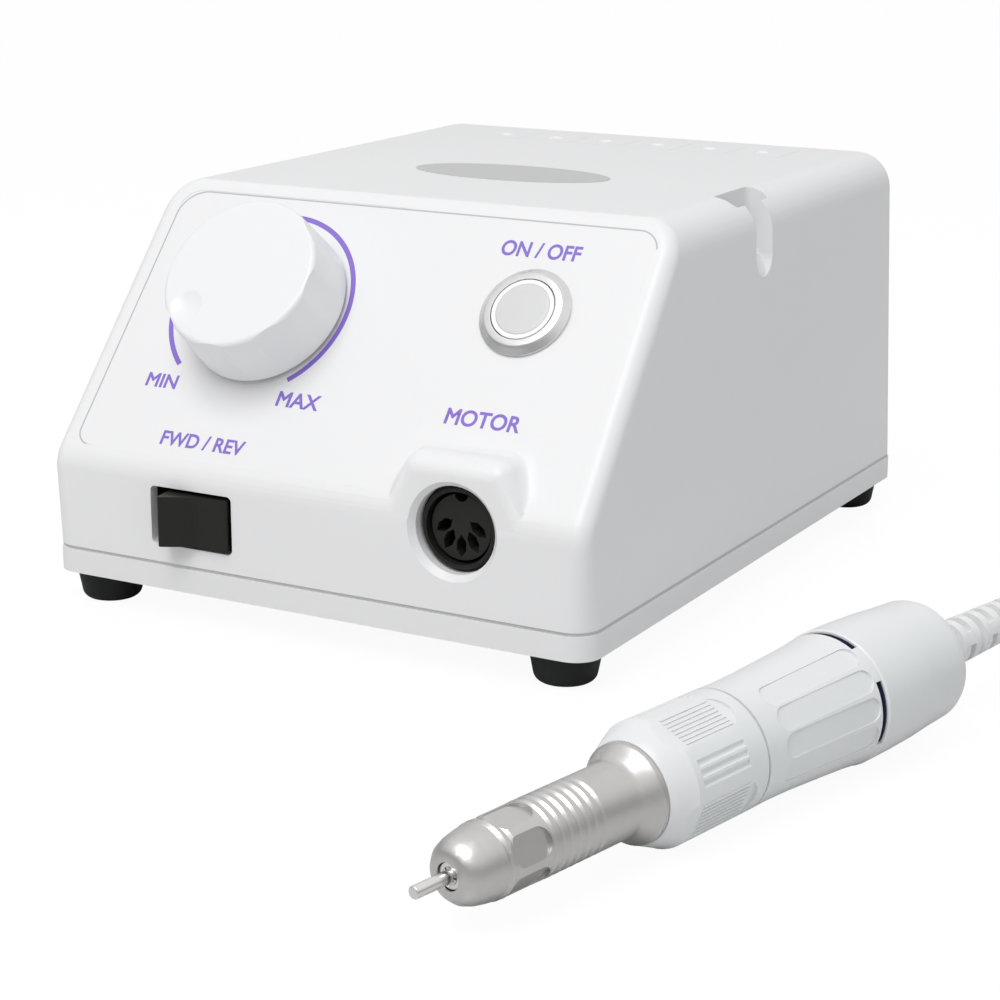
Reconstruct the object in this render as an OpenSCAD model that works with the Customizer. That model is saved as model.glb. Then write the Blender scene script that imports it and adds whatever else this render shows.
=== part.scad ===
// Nail drill machine: a control box with a sloped panel, and its motor handpiece on a coiled cord.
// Millimetres. The floor is z = 0, the box is centred on x and y, and its front faces -Y.

/* [Case] */
// Width of the case at its underside
case_w = 140; // [132:1:160]
// Depth of the case, front to back
case_d = 177.6; // [168:0.1:210]
// Height of the case from its underside to its top
case_h = 85.6; // [80:0.1:95]
// Wall thickness of the case
wall = 2.6; // [2.2:0.1:3]
// Slant of the two side walls in degrees
side_draft = 1.75; // [1:0.05:3.2]
// Slant of the back wall in degrees
back_draft = 2.4; // [0.5:0.1:3]
// Height of the crease between the front wall and the sloped panel
crease_h = 27.8; // [26.5:0.1:30]
// How far the top's front edge lies behind the front wall
slope_run = 48.2; // [44:0.2:56]
// Radius of the upright corners
corner_r = 6; // [5:0.5:8]
// Radius of the slope's edges and of the top's front and back edges
edge_r = 3.6; // [3:0.1:5]
// Radius of the two long top edges
long_edge_r = 9; // [7:0.5:12]
// Radius of the crease
crease_r = 9; // [7:0.5:11]
// Height of the base tray's outer band
band_h = 6; // [5:0.1:7]
// Height of the shadow gap between tray and housing
seam_gap = 0.8; // [0.5:0.1:1]
// Thickness of the tray's floor
floor_t = 2.4; // [2:0.1:3]

/* [Feet] */
// Height of a rubber foot
foot_h = 7.3; // [6:0.1:9]
// Radius of a foot where it meets the tray
foot_r = 8; // [7:0.1:9]
// Distance of a foot's centre from the side of the case
foot_in_x = 10; // [9:0.5:14]
// Distance of a foot's centre from the front and the back of the case
foot_in_y = 9.2; // [9:0.1:14]

/* [Panel] */
// Thickness of the overlay sheet
overlay_t = 0.5; // [0.3:0.1:0.8]
// Margin between the overlay and the case's sides
overlay_margin = 5.5; // [4.5:0.5:8]
// Knob axis, sideways from the middle
knob_x = -26.2; // [-34:0.1:-24]
// Knob axis, up the slope from the crease
knob_s = 43.3; // [40:0.1:48]
// Radius of the knob's skirt
knob_r = 19.6; // [19:0.1:23]
// Radius of the knob's face
knob_face_r = 18.8; // [17:0.1:20]
// Height of the knob
knob_h = 14.9; // [12:0.1:17]
// Push button axis, sideways from the middle
button_x = 38; // [32:0.1:42]
// Push button axis, up the slope from the crease
button_s = 49; // [44:0.1:52]
// Radius of the push button's flange
flange_r = 10.7; // [10:0.1:12]
// Radius of the push button's light ring
light_r = 7.3; // [6.5:0.1:8]
// Travel of the push button
button_travel = 1.8; // [1:0.1:2.2]

/* [Front wall] */
// Rocker window centre, sideways from the middle
rocker_x = -29.9; // [-34:0.1:-24]
// Rocker window centre above the case's underside
rocker_up = 17.3; // [16:0.1:18]
// Width of the rocker window
window_w = 22; // [20:0.1:23]
// Height of the rocker window
window_h = 13.4; // [12:0.1:14]
// Tilt of the rocker to each side, in degrees
rocker_tilt = 14; // [10:0.5:15]
// Motor socket axis, sideways from the middle
socket_x = 37.5; // [33:0.1:40]
// Motor socket axis above the case's underside
socket_up = 24.2; // [22.5:0.1:25]
// Outer radius of the motor socket's ring
socket_r = 9; // [8.5:0.1:9.3]
// Rise of the socket hump above the crease
hump_rise = 12.2; // [9:0.1:14]
// Half width of the flat top of the socket hump
hump_half = 9; // [8:0.1:11]

/* [Top] */
// Distance between two bit cups
cup_pitch = 15; // [12:0.1:17]
// Number of bit cups
cup_count = 6; // [3:1:6]
// Distance of the bit cups from the back of the case
cup_in = 20.7; // [16:0.1:26]
// Radius of a bit shank
shank_r = 1.175; // [1.1:0.005:1.2]
// Length of the oval badge
badge_l = 52; // [40:0.5:60]
// Width of the oval badge
badge_w = 24; // [16:0.1:28]
// Distance of the badge's centre from the front wall
badge_y = 92.8; // [80:0.1:105]
// Distance of the handpiece rest from the front wall
rest_y = 91; // [82:0.1:105]
// Width of the handpiece rest's pocket, front to back
rest_w = 18.5; // [16:0.5:22]
// Distance of the pocket's inner wall from the side of the top
rest_l = 8.8; // [8.5:0.1:12]
// Width of the slot from the pocket out through the side wall
slot_w = 9.2; // [7:0.1:11]
// Depth of the slot into the side wall
slot_in = 3.2; // [2.8:0.1:4.5]
// Height from the top to the lower end of the slot
slot_drop = 18.9; // [16:0.1:22]

/* [Handpiece] */
// Pin tip, sideways from the middle
hand_x = 99.4; // [95:0.1:110]
// Pin tip, back from the middle of the case
hand_y = -207; // [-230:0.1:-200]
// Heading of the handpiece, in degrees from straight back
hand_heading = 14.3; // [8:0.1:18]
// Length of the pin that shows
pin_out = 7.9; // [6:0.1:12]
// Length of the steel nose
nose_l = 44.9; // [42:0.1:50]
// Radius of the nose's grip
nose_r = 7.1; // [6.8:0.1:7.6]
// Radius of the nose's flare
flare_r = 9.4; // [9:0.1:10]
// Length of the chuck ring
ring_l = 25; // [23:0.1:28]
// Radius of the chuck ring
ring_r = 12; // [11.6:0.1:12.4]
// Length of the motor sleeve
sleeve_l = 34; // [32:0.1:40]
// Radius of the motor sleeve's rear end
sleeve_r = 13.3; // [13:0.1:14]
// Length of the rear cap
cap_l = 28.1; // [27:0.1:33]
// Radius of the rear cap
cap_r = 13.6; // [13.3:0.1:14.5]
// Radius of the motor can
can_r = 10.6; // [10:0.1:10.8]
// Length of the strain relief's boot
boot_l = 32; // [26:0.5:34]

/* [Cord] */
// Diameter of the cord
cord_d = 4.5; // [4:0.1:5]
// Mean radius of the coil
coil_r = 27; // [24:0.5:29]
// Turns of the coil in one layer
layer_turns = 2.125; // [1.625:0.5:2.125]
// Clearance between two turns of the coil
coil_gap = 0.6; // [0.5:0.05:0.8]

/* [Hidden] */
$fn = 64;
fit_gap = 0.05;
slip_gap = 0.25;
cut = 1;
ball_fn = 32;

// Case levels and walls
z_base = foot_h;
z_top = z_base + case_h;
z_crease = z_base + crease_h;
z_seam = z_base + band_h;
z_floor = z_base + floor_t;
y_front = -case_d / 2;
y_back = case_d / 2;
slope_angle = atan2(case_h - crease_h, slope_run);
slope_len = norm([case_h - crease_h, slope_run]);
foot_x = case_w / 2 - foot_in_x;
foot_y = case_d / 2 - foot_in_y;
function half_w(z) = case_w / 2 - (z - z_base) * tan(side_draft);
function rear_y(z) = y_back - (z - z_base) * tan(back_draft);
function slope_y(z, inset) = y_front + (cos(slope_angle) * (z - z_crease) + inset) / sin(slope_angle);
function slope_z(s) = z_crease + s * sin(slope_angle);

// Case screws and bosses
boss_r = 4;
screw_r = 1.25;
screw_hole_r = 1.3;
screw_head_r = 2.9;
screw_head_h = 2.6;
screw_seat_z = 4.5;
screw_l = 17;

// Panel controls, with heights measured outwards from the panel
bushing_r = 3.5;
bushing_top = 5;
shaft_r = 3;
knob_gap = 1;
knob_wall = 2.2;
knob_top = knob_gap + knob_h;
knob_roof = 2.6;
pointer_angle = -136;
pointer_r = 13.7;
flute_count = 8;
flute_r = 24;
flute_depth = 0.55;
flange_h = 2;
barrel_r = 9.5;
barrel_l = 16;
cap_seat = -3;
pot_r = 8.5;
pot_h = 9;

// Rocker, with depths measured in from the front wall
pivot_in = 6.5;
pivot_r = 1.2;
rocker_gap = 0.45;
rocker_face = pivot_in + 1.2;
rocker_half = (window_w / 2 - rocker_gap - rocker_face * sin(rocker_tilt)) * cos(rocker_tilt);
rocker_tall = window_h - 4 * rocker_gap;
frame_wall = 1.6;
frame_depth = 15;

// Motor socket, with depths measured in from the front wall
socket_front = 3;
socket_seat = 5;
socket_web = 8;
socket_barrel_r = socket_r - 0.4;
socket_bore_r = socket_r - 1.05;
insert_r = socket_bore_r - 0.75;
socket_face = 4.2;
socket_groove = 9;
socket_l = 20;
socket_z = z_base + socket_up;
slot_angles = [180, 225, 270, 315, 360];
contact_ring_r = 4.1;

// Handpiece rest
rest_mid = y_front + rest_y;
rest_x0 = half_w(z_top) - rest_l;
slot_ramp = 4.5;
slot_x = half_w(z_top - slot_drop / 2) - slot_in;
rest_corner = 1.5;
rest_wall = 2.4;

// Bit cups
cup_bore_r = shank_r + fit_gap;
cup_mouth_r = cup_bore_r + 0.9;
cup_tube_r = 3.6;
cup_head_d = 14;
cup_flange = 2;
cup_deep = 15;
cup_floor = 1.6;
cup_mid_x = 0.5;
cup_y = y_back - cup_in;
badge_x = 0.4;

// Rear wall
inlet_x = -38;
inlet_up = 24;
jack_x = 36;
jack_up = 24;
jack_bush_r = 4.5;
jack_panel_w = 26;
jack_panel_h = 20;
jack_flange = 1.5;
jack_bore_r = 3.2;

// Inside of the case
board_w = 78;
board_d = 96;
board_x = 20;
board_y = -6;
board_t = 1.6;
post_h = 6;
post_r = 3;
board_z = z_floor + post_h;
board_in = 5;
board_head_r = 2.6;
board_clear = 1;
sink_l = 40;
sink_t = 3;
sink_h = 28;
fin_l = 9;
sink_x = board_w / 2 - sink_l / 2 - board_in;
sink_y = board_d / 2 - board_in - board_head_r - board_clear - fin_l - sink_t;
transistor_t = 4.5;
can_cap_r = 7.5;
can_cap_y = sink_y - transistor_t - can_cap_r - 2 * board_clear;
trafo_x = -43;
trafo_y = 18;
trafo_l = 48;
trafo_tall = 40;
trafo_stack = 20;

// Handpiece stations along its axis, from the pin tip
s_nose = pin_out;
s_flare = s_nose + nose_l;
s_ring = s_flare + slip_gap;
s_sleeve = s_ring + ring_l + slip_gap;
s_cap = s_sleeve + sleeve_l;
s_rear = s_cap + cap_l;
collar_l = 4.5;
collar_r = 7;
s_boot = s_rear + collar_l;
s_end = s_boot + boot_l;
ring_chamfer = 5;
hand_tilt = atan2(cap_r - ring_r, s_cap - s_ring - ring_chamfer);
tip_z = ring_r / cos(hand_tilt) - (s_ring + ring_chamfer) * sin(hand_tilt);
label_roll = -22;
tube_r = 8.4;
bearing_r = 5;
spindle_r = 3;
can_wall = 1;
s_can = s_sleeve + 6;
s_can_end = s_rear - 3;
rotor_r = 2;
boot_r0 = 4.9;
boot_r1 = 4.1;
cord_bore_r = cord_d / 2 + fit_gap;

// Cord route: out of the boot, onto the coil's top layer, and from its lowest layer to the plug
cord_r = cord_d / 2;
coil_step = cord_d + coil_gap;
coil_layers = 4;
coil_turns = coil_layers * layer_turns;
coil_swing = coil_step * layer_turns / 2;
coil_out_r = coil_r + coil_swing;
tie_t = 1;
tie_gap = 0.35;
coil_low_z = tie_t + tie_gap + cord_r;
coil_top_z = coil_low_z + (coil_layers - 1) * coil_step;
axis_dir = [sin(hand_heading) * cos(hand_tilt), cos(hand_heading) * cos(hand_tilt), sin(hand_tilt)];
east = [cos(hand_heading), -sin(hand_heading), 0];
north = [sin(hand_heading), cos(hand_heading), 0];
hand_tip = [hand_x, hand_y, tip_z];
boot_end = hand_tip + axis_dir * s_end;
lead_run = 40;
coil_mid = [boot_end.x, boot_end.y, 0] + north * lead_run + east * coil_out_r;
plug_shell_r = socket_bore_r - 0.1;
plug_shell_t = 0.5;
grip_r = plug_shell_r + 1.3;
tail_run = 34;
plug_rear = coil_mid + east * coil_out_r - north * tail_run + [0, 0, grip_r];
plug_boot_l = 13;
plug_grip_l = 27;
plug_shell_l = 10;

// Outline helpers: a corner is [x, y, radius]
function unit(v) = v / norm(v);
function flat(p) = [p[0], p[1]];
function corner_arc(p, a, b, r, n) =
    r <= 0 ? [p] :
    let (u = unit(a - p), v = unit(b - p), half = acos(u * v) / 2,
         c = p + unit(u + v) * r / sin(half), s = p + u * r / tan(half) - c, e = p + v * r / tan(half) - c,
         start = atan2(s.y, s.x), sweep = atan2(s.x * e.y - s.y * e.x, s * e))
    [for (i = [0 : n]) c + r * [cos(start + sweep * i / n), sin(start + sweep * i / n)]];
function rounded(corners, n = 6) =
    let (m = len(corners))
    [for (i = [0 : m - 1])
        each corner_arc(flat(corners[i]), flat(corners[(i + m - 1) % m]), flat(corners[(i + 1) % m]),
                        corners[i][2], n)];

module rounded_rect(x, y, r) {
    square([x - 2 * r, y], center = true);
    square([x, y - 2 * r], center = true);
    for (sx = [-1, 1], sy = [-1, 1])
        translate([sx * (x / 2 - r), sy * (y / 2 - r)]) circle(r);
}

module tube(r_out, r_in, h) {
    difference() {
        cylinder(r = r_out, h = h);
        translate([0, 0, -cut]) cylinder(r = r_in, h = h + 2 * cut);
    }
}

module hex_nut(r_out, r_in, h) {
    difference() {
        cylinder(r = r_out, h = h, $fn = 6);
        translate([0, 0, -cut]) cylinder(r = r_in, h = h + 2 * cut);
    }
}

// Local frames: +Z points out of the surface, +Y up
module on_slope(x, s) {
    translate([x, y_front + s * cos(slope_angle), slope_z(s)]) rotate([slope_angle, 0, 0]) children();
}
module on_front(x, z) {
    translate([x, y_front, z]) rotate([90, 0, 0]) children();
}
module on_back(x, z) {
    translate([x, rear_y(z), z]) rotate([90 - back_draft, 0, 180]) children();
}
module on_handpiece(station = 0, roll = 0) {
    translate(hand_tip) rotate([hand_tilt - 90, 0, -hand_heading]) translate([0, 0, station])
        rotate([0, 0, roll]) children();
}
module on_plug(station = 0) {
    translate(plug_rear) rotate([90, 0, -hand_heading]) translate([0, 0, station]) children();
}
module at_corners(x, y) {
    for (sx = [-1, 1], sy = [-1, 1]) translate([sx * x, sy * y, 0]) children();
}

// Moulded outer form: walls with draft, a rounded crease, and long top edges with a larger radius
module case_form() {
    z_low = z_seam + seam_gap / 2;
    crease_mid_z = z_crease - crease_r * (1 - sin(slope_angle)) / cos(slope_angle);
    edge_mid_z = z_top - long_edge_r;
    edge_mid_x = half_w(edge_mid_z) - long_edge_r / cos(side_draft);
    crease_steps = 4;
    edge_steps = 8;
    hull() {
        for (side = [-1, 1]) {
            for (y = [y_front + corner_r, rear_y(z_low) - corner_r])
                translate([side * (half_w(z_low) - corner_r), y, z_low])
                    cylinder(r = corner_r, h = 0.5, $fn = ball_fn);
            for (k = [0 : crease_steps]) {
                turn = k * (90 - slope_angle) / crease_steps;
                z = crease_mid_z + (crease_r - edge_r) * sin(turn);
                y = y_front + crease_r - (crease_r - edge_r) * cos(turn);
                translate([side * (half_w(z) - edge_r / cos(side_draft)), y, z]) sphere(edge_r, $fn = ball_fn);
            }
            for (k = [0 : edge_steps]) {
                turn = side_draft + k * (90 - side_draft) / edge_steps;
                x = edge_mid_x + (long_edge_r - edge_r) * cos(turn);
                z = edge_mid_z + (long_edge_r - edge_r) * sin(turn);
                for (y = [slope_y(z, edge_r), rear_y(z) - edge_r])
                    translate([side * x, y, z]) sphere(edge_r, $fn = ball_fn);
            }
        }
    }
}

// Hump that carries the motor socket, flush with the front wall
module socket_hump() {
    hump_r = 4.5;
    hump_side = 60;
    hump_inset = 0.15;
    foot_run = 15;
    top_z = z_crease + hump_rise - hump_r;
    hull() {
        for (side = [-1, 1], back = [0, 14], run = [0, foot_run])
            translate([socket_x + side * (hump_half + run * cos(hump_side)), y_front + hump_r + hump_inset + back,
                       top_z - run * sin(hump_side)])
                sphere(hump_r, $fn = ball_fn);
    }
}

// Hollow of the case, with solid stock left round the rest and behind the socket
module case_cavity() {
    z_low = z_seam - cut;
    z_in = z_top - wall;
    crease_in_z = z_crease - wall * (1 - sin(slope_angle)) / cos(slope_angle);
    side_view = rounded([[y_front + wall, z_low, 0], [rear_y(z_low) - wall, z_low, 0],
                         [rear_y(z_in) - wall, z_in, 2], [slope_y(z_in, wall), z_in, 2],
                         [y_front + wall, crease_in_z, 2]]);
    front_view = rounded([[-half_w(z_low) + wall, z_low, 0], [half_w(z_low) - wall, z_low, 0],
                          [half_w(z_in) - wall, z_in, long_edge_r - wall],
                          [wall - half_w(z_in), z_in, long_edge_r - wall]]);
    difference() {
        intersection() {
            rotate([90, 0, 90]) linear_extrude(case_w, center = true) polygon(side_view);
            rotate([90, 0, 0]) linear_extrude(case_d, center = true) polygon(front_view);
        }
        translate([rest_x0 - rest_wall, rest_mid - rest_w / 2 - rest_wall, z_top - slot_drop - rest_wall])
            cube([case_w, rest_w + 2 * rest_wall, case_h]);
        on_front(socket_x, socket_z) translate([0, 0, -socket_web])
            cylinder(r = socket_r + 4, h = socket_web + cut);
    }
}

// Screw bosses up into the slope and the top, each tied to the side wall by a rib
module case_bosses() {
    edge_mid_z = z_top - long_edge_r;
    edge_reach = foot_x + boss_r - half_w(edge_mid_z) + long_edge_r;
    rear_top = edge_mid_z + sqrt(pow(long_edge_r, 2) - pow(max(edge_reach, 0), 2)) - wall / 2;
    front_top = slope_z(0) + (foot_in_y - boss_r) * tan(slope_angle) - 2.2;
    rib_low = z_seam + 6;
    rib_t = 2;
    for (side = [-1, 1], row = [[-foot_y, front_top], [foot_y, rear_top]]) {
        translate([side * foot_x, row[0], z_floor]) cylinder(r = boss_r, h = row[1] - z_floor);
        rib_high = min(row[1], edge_mid_z) - 3;
        translate([side * foot_x, row[0] - rib_t / 2, 0]) rotate([90, 0, 0]) translate([0, 0, -rib_t])
            linear_extrude(rib_t)
                polygon([[0, rib_low], [side * (half_w(rib_low) - wall / 2 - foot_x), rib_low],
                         [side * (half_w(rib_high) - wall / 2 - foot_x), rib_high], [0, rib_high]]);
    }
}

// Overlay outline on the slope, with a window round the socket hump
module overlay_outline(grow) {
    low = crease_r * tan((90 - slope_angle) / 2) + 0.4 - grow;
    high = slope_len - edge_r * tan(slope_angle / 2) - 1.3 + grow;
    low_half = half_w(slope_z(low)) - overlay_margin + grow;
    high_half = half_w(slope_z(high)) - overlay_margin + grow;
    window_top = hump_rise / sin(slope_angle) + 5 - grow;
    top_half = hump_half + 6 - grow;
    strip_w = 2.8 + 2 * grow;
    foot_half = min(hump_half + 14 - grow, low_half - strip_w - socket_x);
    polygon(rounded([[-low_half, low, 3.7], [socket_x - foot_half, low, 3], [socket_x - top_half, window_top, 4],
                     [socket_x + top_half, window_top, 4], [socket_x + foot_half, low, 0.8],
                     [low_half, low, 1.2], [high_half, high, 5.7], [-high_half, high, 5.7]]));
}

module badge_outline(grow) {
    polygon([for (t = [0 : 7.5 : 352.5]) [(badge_l / 2 + grow) * cos(t), (badge_w / 2 + grow) * sin(t)]]);
}

// Pocket in the top beside the long edge, and the slot from it through the side, with a ramp below
module rest_cut() {
    pocket_z = z_top - slot_drop + slot_ramp;
    mid_x = (rest_x0 + slot_x) / 2;
    translate([mid_x, rest_mid, pocket_z]) linear_extrude(slot_drop)
        rounded_rect(slot_x - rest_x0, rest_w, rest_corner);
    intersection() {
        translate([0, rest_mid + slot_w / 2, 0]) rotate([90, 0, 0]) linear_extrude(slot_w)
            polygon([[mid_x, z_top + cut], [slot_x + case_w, z_top + cut], [slot_x + case_w, z_top - slot_drop],
                     [slot_x + slot_in, z_top - slot_drop], [slot_x, pocket_z], [mid_x, pocket_z]]);
        translate([0, rest_mid, z_top - slot_drop + slot_w / 2]) rotate([90, 0, 90]) linear_extrude(case_w) {
            circle(slot_w / 2);
            translate([-slot_w / 2, 0]) square([slot_w, slot_drop]);
        }
    }
}

module socket_cut() {
    on_front(socket_x, socket_z) {
        translate([0, 0, -1.5]) cylinder(r1 = socket_r + 0.7, r2 = socket_r + 2, h = 1.5);
        cylinder(r = socket_r + 2, h = cut);
        translate([0, 0, -socket_seat]) cylinder(r = socket_r + 0.7, h = socket_seat);
        translate([0, 0, -socket_l]) cylinder(r = socket_barrel_r + fit_gap, h = socket_l);
        translate([0, 0, -socket_l - 8]) cylinder(r = socket_r + 3.2, h = socket_l + 8 - socket_web);
    }
}

module upper_housing() {
    color("whitesmoke") difference() {
        union() {
            difference() {
                union() {
                    case_form();
                    socket_hump();
                }
                case_cavity();
            }
            case_bosses();
        }
        on_slope(0, 0) translate([0, 0, -overlay_t]) linear_extrude(overlay_t + cut) overlay_outline(fit_gap);
        on_slope(knob_x, knob_s) translate([0, 0, -3 * wall]) cylinder(r = bushing_r + fit_gap, h = 4 * wall);
        on_slope(button_x, button_s) translate([0, 0, -3 * wall]) cylinder(r = barrel_r + fit_gap, h = 4 * wall);
        on_front(rocker_x, z_base + rocker_up) translate([0, 0, -wall - cut])
            linear_extrude(wall + 2 * cut) rounded_rect(window_w, window_h, 1.2);
        socket_cut();
        rest_cut();
        translate([badge_x, y_front + badge_y, z_top - 0.6]) linear_extrude(0.6 + cut) badge_outline(fit_gap);
        translate([cup_mid_x, cup_y, z_top - wall / 2])
            cube([cup_count * cup_pitch, cup_head_d + 2 * fit_gap, 3 * wall], center = true);
        on_back(inlet_x, z_base + inlet_up) translate([0, 0, -2 * wall])
            linear_extrude(3 * wall) rounded_rect(22.4, 15.4, 2);
        on_back(jack_x, z_base + jack_up) translate([0, 0, -2 * wall])
            linear_extrude(3 * wall) rounded_rect(jack_panel_w + 2 * fit_gap, jack_panel_h + 2 * fit_gap, 2);
        at_corners(foot_x, foot_y) translate([0, 0, z_floor - cut])
            cylinder(r = screw_hole_r, h = screw_l);
    }
}

module base_tray() {
    lip_t = 1.6;
    lip_h = 3.5;
    lip_w = 2 * (half_w(z_seam + lip_h) - wall - slip_gap);
    lip_d = 2 * (rear_y(z_seam + lip_h) - wall - slip_gap);
    frame_w = window_w + 2 * (frame_wall + slip_gap);
    frame_low = rocker_up - window_h / 2 - frame_wall - slip_gap;
    vent_count = 9;
    color("whitesmoke") difference() {
        union() {
            translate([0, 0, z_base]) linear_extrude(floor_t) rounded_rect(case_w, case_d, corner_r);
            translate([0, 0, z_base]) linear_extrude(band_h - seam_gap / 2) difference() {
                rounded_rect(case_w, case_d, corner_r);
                rounded_rect(lip_w - 2 * lip_t, lip_d - 2 * lip_t, corner_r - wall - lip_t / 2);
            }
            translate([0, 0, z_base]) linear_extrude(band_h + lip_h) difference() {
                rounded_rect(lip_w, lip_d, corner_r - wall);
                rounded_rect(lip_w - 2 * lip_t, lip_d - 2 * lip_t, corner_r - wall - lip_t / 2);
            }
            translate([board_x, board_y, z_floor - cut])
                at_corners(board_w / 2 - board_in, board_d / 2 - board_in)
                    cylinder(r = post_r, h = post_h + cut);
        }
        translate([rocker_x - frame_w / 2, y_front, z_base + frame_low]) cube([frame_w, frame_depth, case_h]);
        at_corners(foot_x, foot_y) translate([0, 0, z_base - cut])
            cylinder(r = screw_r + slip_gap, h = floor_t + 2 * cut);
        translate([board_x, board_y, z_floor])
            at_corners(board_w / 2 - board_in, board_d / 2 - board_in)
                cylinder(r = screw_hole_r, h = post_h + cut);
        for (side = [-1, 1])
            translate([trafo_x, trafo_y + side * (trafo_l / 2 + 5), z_base - cut])
                cylinder(r = screw_hole_r, h = floor_t + 2 * cut);
        for (k = [0 : vent_count - 1])
            translate([board_x, board_y + (k - (vent_count - 1) / 2) * 5, z_base - cut])
                linear_extrude(floor_t + 2 * cut) rounded_rect(40, 2, 0.9);
    }
}

module front_overlay() {
    color("snow") on_slope(0, 0) translate([0, 0, -overlay_t]) linear_extrude(overlay_t) difference() {
        overlay_outline(0);
        translate([knob_x, knob_s]) circle(bushing_r + fit_gap);
        translate([button_x, button_s]) circle(barrel_r + fit_gap);
    }
}

module badge_plate() {
    color("silver") translate([badge_x, y_front + badge_y, z_top - 0.6]) linear_extrude(0.7) badge_outline(0);
}

module rubber_feet() {
    foot_low_r = foot_r - 1.4;
    color("#1c1e1e") at_corners(foot_x, foot_y) rotate_extrude()
        polygon(rounded([[screw_head_r + slip_gap, 0, 0], [foot_low_r, 0, 2.2], [foot_r, foot_h, 0],
                         [screw_r + slip_gap, foot_h, 0], [screw_r + slip_gap, screw_seat_z, 0],
                         [screw_head_r + slip_gap, screw_seat_z, 0]]));
}

module case_screws() {
    color("silver") at_corners(foot_x, foot_y) difference() {
        union() {
            translate([0, 0, screw_seat_z - screw_head_h]) cylinder(r = screw_head_r, h = screw_head_h);
            translate([0, 0, screw_seat_z - cut]) cylinder(r = screw_r, h = screw_l + cut);
        }
        for (turn = [0, 90])
            translate([0, 0, screw_seat_z - screw_head_h]) rotate([0, 0, turn])
                cube([3.4, 0.8, 2], center = true);
    }
}

// One cup: a flat head let into the top, a flange under the top and a tube for the shank
module bit_cup() {
    head_w = cup_pitch - 2 * fit_gap;
    difference() {
        union() {
            translate([-head_w / 2, -cup_head_d / 2, -wall - cut]) cube([head_w, cup_head_d, wall + cut]);
            translate([-head_w / 2, -cup_head_d / 2 - cup_flange, -2 * wall])
                cube([head_w, cup_head_d + 2 * cup_flange, wall]);
            translate([0, 0, -cup_deep]) cylinder(r = cup_tube_r, h = cup_deep - wall);
        }
        rotate_extrude()
            polygon([[0, cup_floor - cup_deep], [cup_bore_r, cup_floor - cup_deep],
                     [cup_bore_r, cup_bore_r - cup_mouth_r], [cup_mouth_r, 0], [cup_mouth_r, cut], [0, cut]]);
    }
}

module bit_cups() {
    color("white") for (k = [0 : cup_count - 1])
        translate([cup_mid_x + (k - (cup_count - 1) / 2) * cup_pitch, cup_y, z_top]) bit_cup();
}

module pot_body() {
    color("dimgray") on_slope(knob_x, knob_s) {
        difference() {
            union() {
                translate([0, 0, -wall - pot_h]) cylinder(r = pot_r, h = pot_h);
                translate([0, 0, -wall - cut]) cylinder(r = bushing_r, h = wall + cut + bushing_top);
            }
            translate([0, 0, 2 - wall - pot_h]) cylinder(r = shaft_r + fit_gap, h = pot_h + wall + bushing_top);
        }
        for (k = [-1 : 1])
            translate([5 * k - 0.75, -pot_r - 4, -wall - 6]) cube([1.5, 6, 0.8]);
    }
}

module pot_nut() {
    color("silver") on_slope(knob_x, knob_s) hex_nut(5.6, bushing_r + fit_gap / 2, 2.2);
}

module pot_shaft() {
    color("silver") on_slope(knob_x, knob_s) translate([0, 0, 2.5 - wall - pot_h])
        cylinder(r = shaft_r, h = knob_top - knob_roof - 2.5 + wall + pot_h);
}

// Knob: a tapered cup with shallow scallops that run out before the skirt, and a dished pointer
module speed_knob() {
    taper = atan2(knob_r - knob_face_r, knob_h);
    hub_low = bushing_top + 0.6;
    scallop_low = 0.5 * knob_h;
    dish_r = 4.1;
    dish_deep = 0.9;
    ball_r = (dish_r * dish_r + dish_deep * dish_deep) / (2 * dish_deep);
    scallop_r = knob_r - (scallop_low - knob_gap) * tan(taper) + flute_r - flute_depth;
    color("white") on_slope(knob_x, knob_s) difference() {
        rotate_extrude()
            polygon(rounded([[shaft_r + fit_gap / 2, hub_low, 0], [shaft_r + 3, hub_low, 0],
                             [shaft_r + 3, knob_top - knob_roof, 0],
                             [knob_face_r - knob_wall, knob_top - knob_roof, 1],
                             [knob_r - knob_wall, knob_gap, 0], [knob_r, knob_gap, 0.5],
                             [knob_face_r, knob_top, 1.2], [0, knob_top, 0], [0, knob_top - knob_roof, 0],
                             [shaft_r + fit_gap / 2, knob_top - knob_roof, 0]]));
        for (k = [0 : flute_count - 1])
            rotate([0, 0, pointer_angle + k * 360 / flute_count]) translate([scallop_r, 0, scallop_low])
                rotate([0, -taper, 0]) {
                    cylinder(r = flute_r, h = knob_h);
                    sphere(flute_r);
                }
        rotate([0, 0, pointer_angle]) translate([pointer_r, 0, knob_top - dish_deep + ball_r]) sphere(ball_r);
    }
}

module switch_barrel() {
    ring_r_in = light_r + slip_gap;
    color("silver") on_slope(button_x, button_s) {
        rotate_extrude()
            polygon([[ring_r_in, flange_h], [light_r + 1.5, flange_h], [light_r + 1.9, flange_h - 0.2],
                     [flange_r, 0.7], [flange_r, 0], [barrel_r, 0], [barrel_r, -barrel_l], [0, -barrel_l],
                     [0, cap_seat - button_travel - 0.5], [ring_r_in, cap_seat - button_travel - 0.5]]);
        for (turn = [0 : 90 : 270])
            rotate([0, 0, turn]) translate([4.5, -1, -barrel_l - 5]) cube([0.8, 2, 6]);
    }
}

module switch_nut() {
    color("silver") on_slope(button_x, button_s) translate([0, 0, -wall - 3])
        hex_nut(barrel_r + 3.4, barrel_r + fit_gap / 2, 3);
}

module button_cap() {
    color("gainsboro") on_slope(button_x, button_s)
        rotate_extrude()
            polygon(rounded([[0, cap_seat, 0], [light_r - 1, cap_seat, 0], [light_r - 1, flange_h + 0.1, 0.3],
                             [0, flange_h + 0.3, 0]]));
}

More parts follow.
